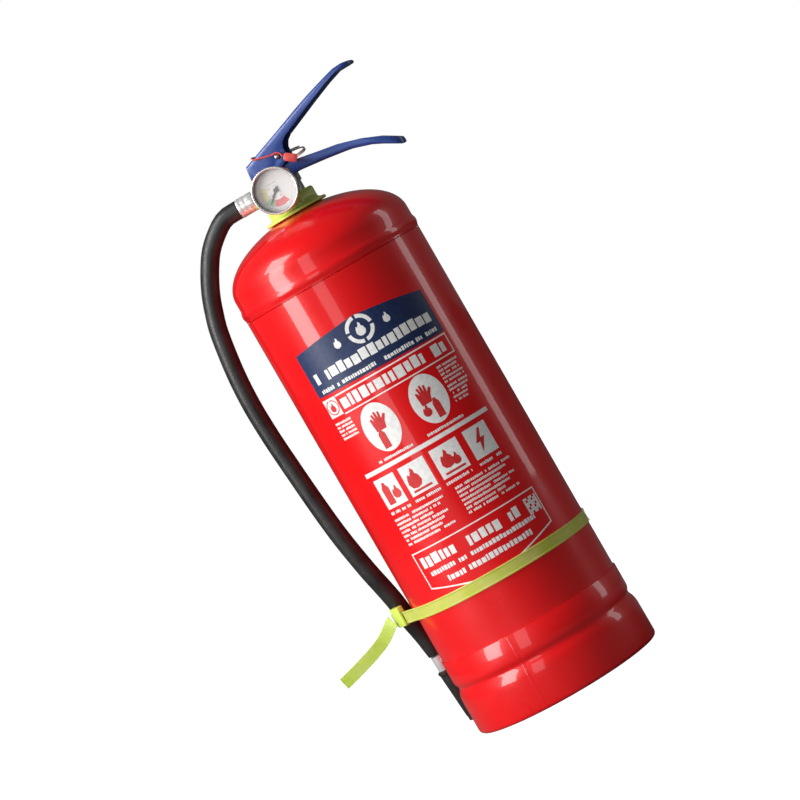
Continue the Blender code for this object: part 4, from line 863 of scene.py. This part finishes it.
# ---- Printed label
# Screen print on the enamel: a navy title panel with an arched top, rows of small print, two round
# and four square picture panels, and a framed foot with a pointed lower edge. Words are plain bars.
def wrapped(obj, lift):
    """Cuts a flat print into narrow strips and lays it round the body at a small height above it."""
    ready(obj)
    bpy.ops.object.mode_set(mode="EDIT")
    bpy.ops.mesh.select_all(action="SELECT")
    reach = max(abs(v.co.x) for v in obj.data.vertices)
    strip = 3.2 * MM
    cut = -reach + strip
    while cut < reach:
        bpy.ops.mesh.select_all(action="SELECT")
        bpy.ops.mesh.bisect(plane_co=(cut, 0, 0), plane_no=(1, 0, 0))
        cut += strip
    bpy.ops.object.mode_set(mode="OBJECT")
    radius = BODY_R + lift
    middle = math.radians(7.4)
    for vertex in obj.data.vertices:
        angle = middle + vertex.co.x / BODY_R
        vertex.co = (radius * math.sin(angle), -radius * math.cos(angle), vertex.co.y)
    obj.data.update()
    bpy.ops.object.shade_smooth_by_angle(angle=math.radians(30))
    rides(obj, "vessel", "white_print")


def bar(x0, x1, z0, z1):
    """A rectangle between two places across and two heights."""
    return [(x0, z0), (x1, z0), (x1, z1), (x0, z1)]


def oval(x, z, half_width, half_height, steps=40):
    """An ellipse."""
    turns = [2 * math.pi * n / steps for n in range(steps)]
    return [(x + half_width * math.cos(a), z + half_height * math.sin(a)) for a in turns]


def shifted(shape, x, z, size=1.0):
    """A shape scaled and moved."""
    return [(x + a * size, z + b * size) for a, b in shape]


def words(x0, x1, z0, z1, seed, gap=0.16):
    """A row of small upright blocks of uneven width, which stands for a line of print."""
    chance = random.Random(seed)
    blocks, x, height = [], x0, z1 - z0
    while x < x1 - height * 0.3:
        width = height * chance.uniform(0.3, 0.72)
        if chance.random() > 0.1:
            foot = height * chance.uniform(0, 0.12)
            blocks.append(bar(x, min(x + width, x1), z0 + foot, z0 + height * chance.uniform(0.8, 1)))
        x += width + height * gap
    return blocks


arch = [(-59.5, 287.6), (59.5, 285.6), (59.5, 321.5), (30, 326.5), (0, 330.5), (-30, 327.5), (-59.5, 324.0)]
wrapped(flat_shapes("print_navy", [arch], print_paint("print_navy_ink", (0.006, 0.020, 0.085))), 0.05 * MM)

flame = [(0, -5), (2.6, -4.2), (3.9, -1.8), (3.2, 1.2), (1.8, 2.6), (1.9, 4.4), (0.6, 6.0),
         (-0.4, 3.4), (-1.4, 2.2), (-2.2, 3.2), (-3.4, 0.8), (-3.8, -2.0), (-2.4, -4.3)]
bolt = [(1.2, 6), (-3, -0.6), (-0.6, -0.6), (-1.6, -6), (3, 1.2), (0.5, 1.2), (2.6, 6)]
white_shapes = []
white_shapes += [band(8.2, 11.2, a, a + 78, 12) for a in (6, 96, 186, 276)]
white_shapes = [shifted(s, 0, 319, 1.0) for s in white_shapes]
white_shapes += [shifted(flame, 0, 318.4, 1.0)]
white_shapes += [shifted(flame, -21, 317.4, 0.75), shifted(flame, 21.5, 316.6, 0.75)]
white_shapes += words(-53.5, 54, 296.6, 306.2, 3, 0.12)
white_shapes += words(-53.5, -1.5, 288.9, 292.4, 4) + words(5, 54, 288.5, 292.0, 5)
white_shapes += [bar(-58.5, -45.5, 269.4, 284.6), bar(-44.6, 58.6, 283.4, 284.6),
                 bar(-44.6, 58.6, 268.2, 269.2), bar(57.6, 58.6, 269.2, 283.4)]
white_shapes += words(-42.8, 56.4, 271.4, 281.6, 6, 0.14)
white_shapes += [oval(-23.6, 247.0, 14.6, 19.8), oval(19.2, 247.4, 14.6, 19.8)]
for row in range(5):
    white_shapes += words(-58.6, -42, 263.2 - row * 3.1, 265.2 - row * 3.1, 20 + row)
    white_shapes += words(36.4, 57, 263.2 - row * 3.1, 265.2 - row * 3.1, 30 + row)
for row in range(5):
    white_shapes += words(36.4, 57 - row * 2, 247.0 - row * 3.1, 249.0 - row * 3.1, 40 + row)
white_shapes += words(-40, -8, 222.6, 225.0, 50) + words(4, 36, 222.6, 225.0, 51)
white_shapes += [bar(-58.6, 57.6, 217.2, 220.6)]
for x, width in ((-44.4, 20.2), (-18.4, 22.4), (9.8, 23.4), (38.2, 21.4)):
    white_shapes += [bar(x - width / 2, x + width / 2, 188.6, 213.2)]
    white_shapes += words(x - width / 2, x + width / 2, 183.6, 186.2, int(x) + 90)
for row in range(7):
    white_shapes += words(-55, -8 - (row * 5) % 14, 178.0 - row * 3.5, 180.2 - row * 3.5, 60 + row)
    white_shapes += words(2, 53 - (row * 7) % 19, 178.0 - row * 3.5, 180.2 - row * 3.5, 70 + row)
white_shapes += [bar(-57.8, 57.8, 149.6, 150.6), bar(-57.8, -56.8, 121.4, 149.6),
                 bar(56.8, 57.8, 121.4, 149.6)]
white_shapes += [[(-57.8, 121.4), (-57.8, 120.2), (-1, 105.4), (-1, 106.6)],
                 [(-1, 106.6), (-1, 105.4), (57.8, 120.2), (57.8, 121.4)]]
white_shapes += words(-53, 36, 135.6, 145.2, 80, 0.14)
white_shapes += words(-50, 46, 128.6, 132.6, 81) + words(-38, 38, 119.6, 124.6, 82)
for column in range(7):
    for line in range(7):
        if (column * 5 + line * 3 + column * line) % 3 != 1:
            white_shapes += [bar(43.4 + column * 1.8, 45.1 + column * 1.8,
                                 132.4 + line * 1.9, 134.2 + line * 1.9)]
white_ink = print_paint("print_white_ink", (0.86, 0.85, 0.83))
wrapped(flat_shapes("print_white", white_shapes, white_ink), 0.11 * MM)

hand = [(-5, -7), (3, -7), (4.4, -2), (7, 2.4), (5.6, 3.6), (3, 0.8), (3.4, 6), (1.8, 6.4), (1.2, 1.8),
        (0.4, 7.2), (-1.2, 7.2), (-1.2, 1.8), (-2.2, 6.2), (-3.8, 5.8), (-3, 1), (-4.8, 3.6), (-6, 2.8)]
body_shape = [(-3.2, -9), (3.2, -9), (3.2, 4), (1.6, 6.4), (1.2, 8.4), (-1.2, 8.4), (-1.6, 6.4), (-3.2, 4)]
dark_shapes = [shifted(band(5.2, 6.2, 0, 350, 24), -52, 277), shifted(flame, -52, 276.6, 0.7)]
dark_shapes += [shifted(hand, -23, 252, 1.05), shifted(body_shape, -26, 238.4, 0.9),
                shifted(hand, 17, 252, 1.05), shifted(body_shape, 22, 239, 0.9),
                shifted(flame, 13, 240, 0.9)]
dark_shapes += [shifted(body_shape, -47.4, 200.6, 1.05), shifted(flame, -39.6, 198.6, 1.0)]
dark_shapes += [shifted(flame, -21.8, 200.8, 1.5), bar(-26.6, -10.6, 190.6, 192.4)]
dark_shapes += [shifted(flame, 7.4, 201.4, 1.35), shifted(flame, 14.2, 198.6, 0.9),
                bar(1.6, 18.6, 190.6, 192.4)]
dark_shapes += [shifted(bolt, 38.2, 201, 1.55)]
wrapped(flat_shapes("print_red", dark_shapes, print_paint("print_red_ink", (0.62, 0.02, 0.02))), 0.17 * MM)


# ---- Everything that stays as it was cut
# Small inner parts keep their shape and get the finish of what they are made of.
powder = Paint("dry_powder", (0.80, 0.72, 0.62), 0.9)
powder.set("Base Color", powder.mix(powder.noise(900, 4), (0.72, 0.64, 0.55), (0.88, 0.81, 0.72)))
powder.bump(powder.noise(2600, 4), 0.0002, 0.8)
white_plastic = Paint("white_tube_plastic", (0.84, 0.84, 0.82), 0.42)
white_plastic.set("Roughness", white_plastic.ramp(white_plastic.noise(300, 3), 0.3, 0.7, 0.35, 0.5))
white_plastic.bump(white_plastic.noise(1800, 2), 0.00003, 0.5)
for node, paint in (("neck_boss", steel), ("neck_seal", rubber), ("stem_seal", rubber),
                    ("poppet_seal", rubber),
                    ("tube_adapter", brass), ("bourdon_tube", brass),
                    ("dip_tube", white_plastic), ("powder_charge", powder)):
    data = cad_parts[node].data
    data.materials.clear()
    data.materials.append(paint.material)
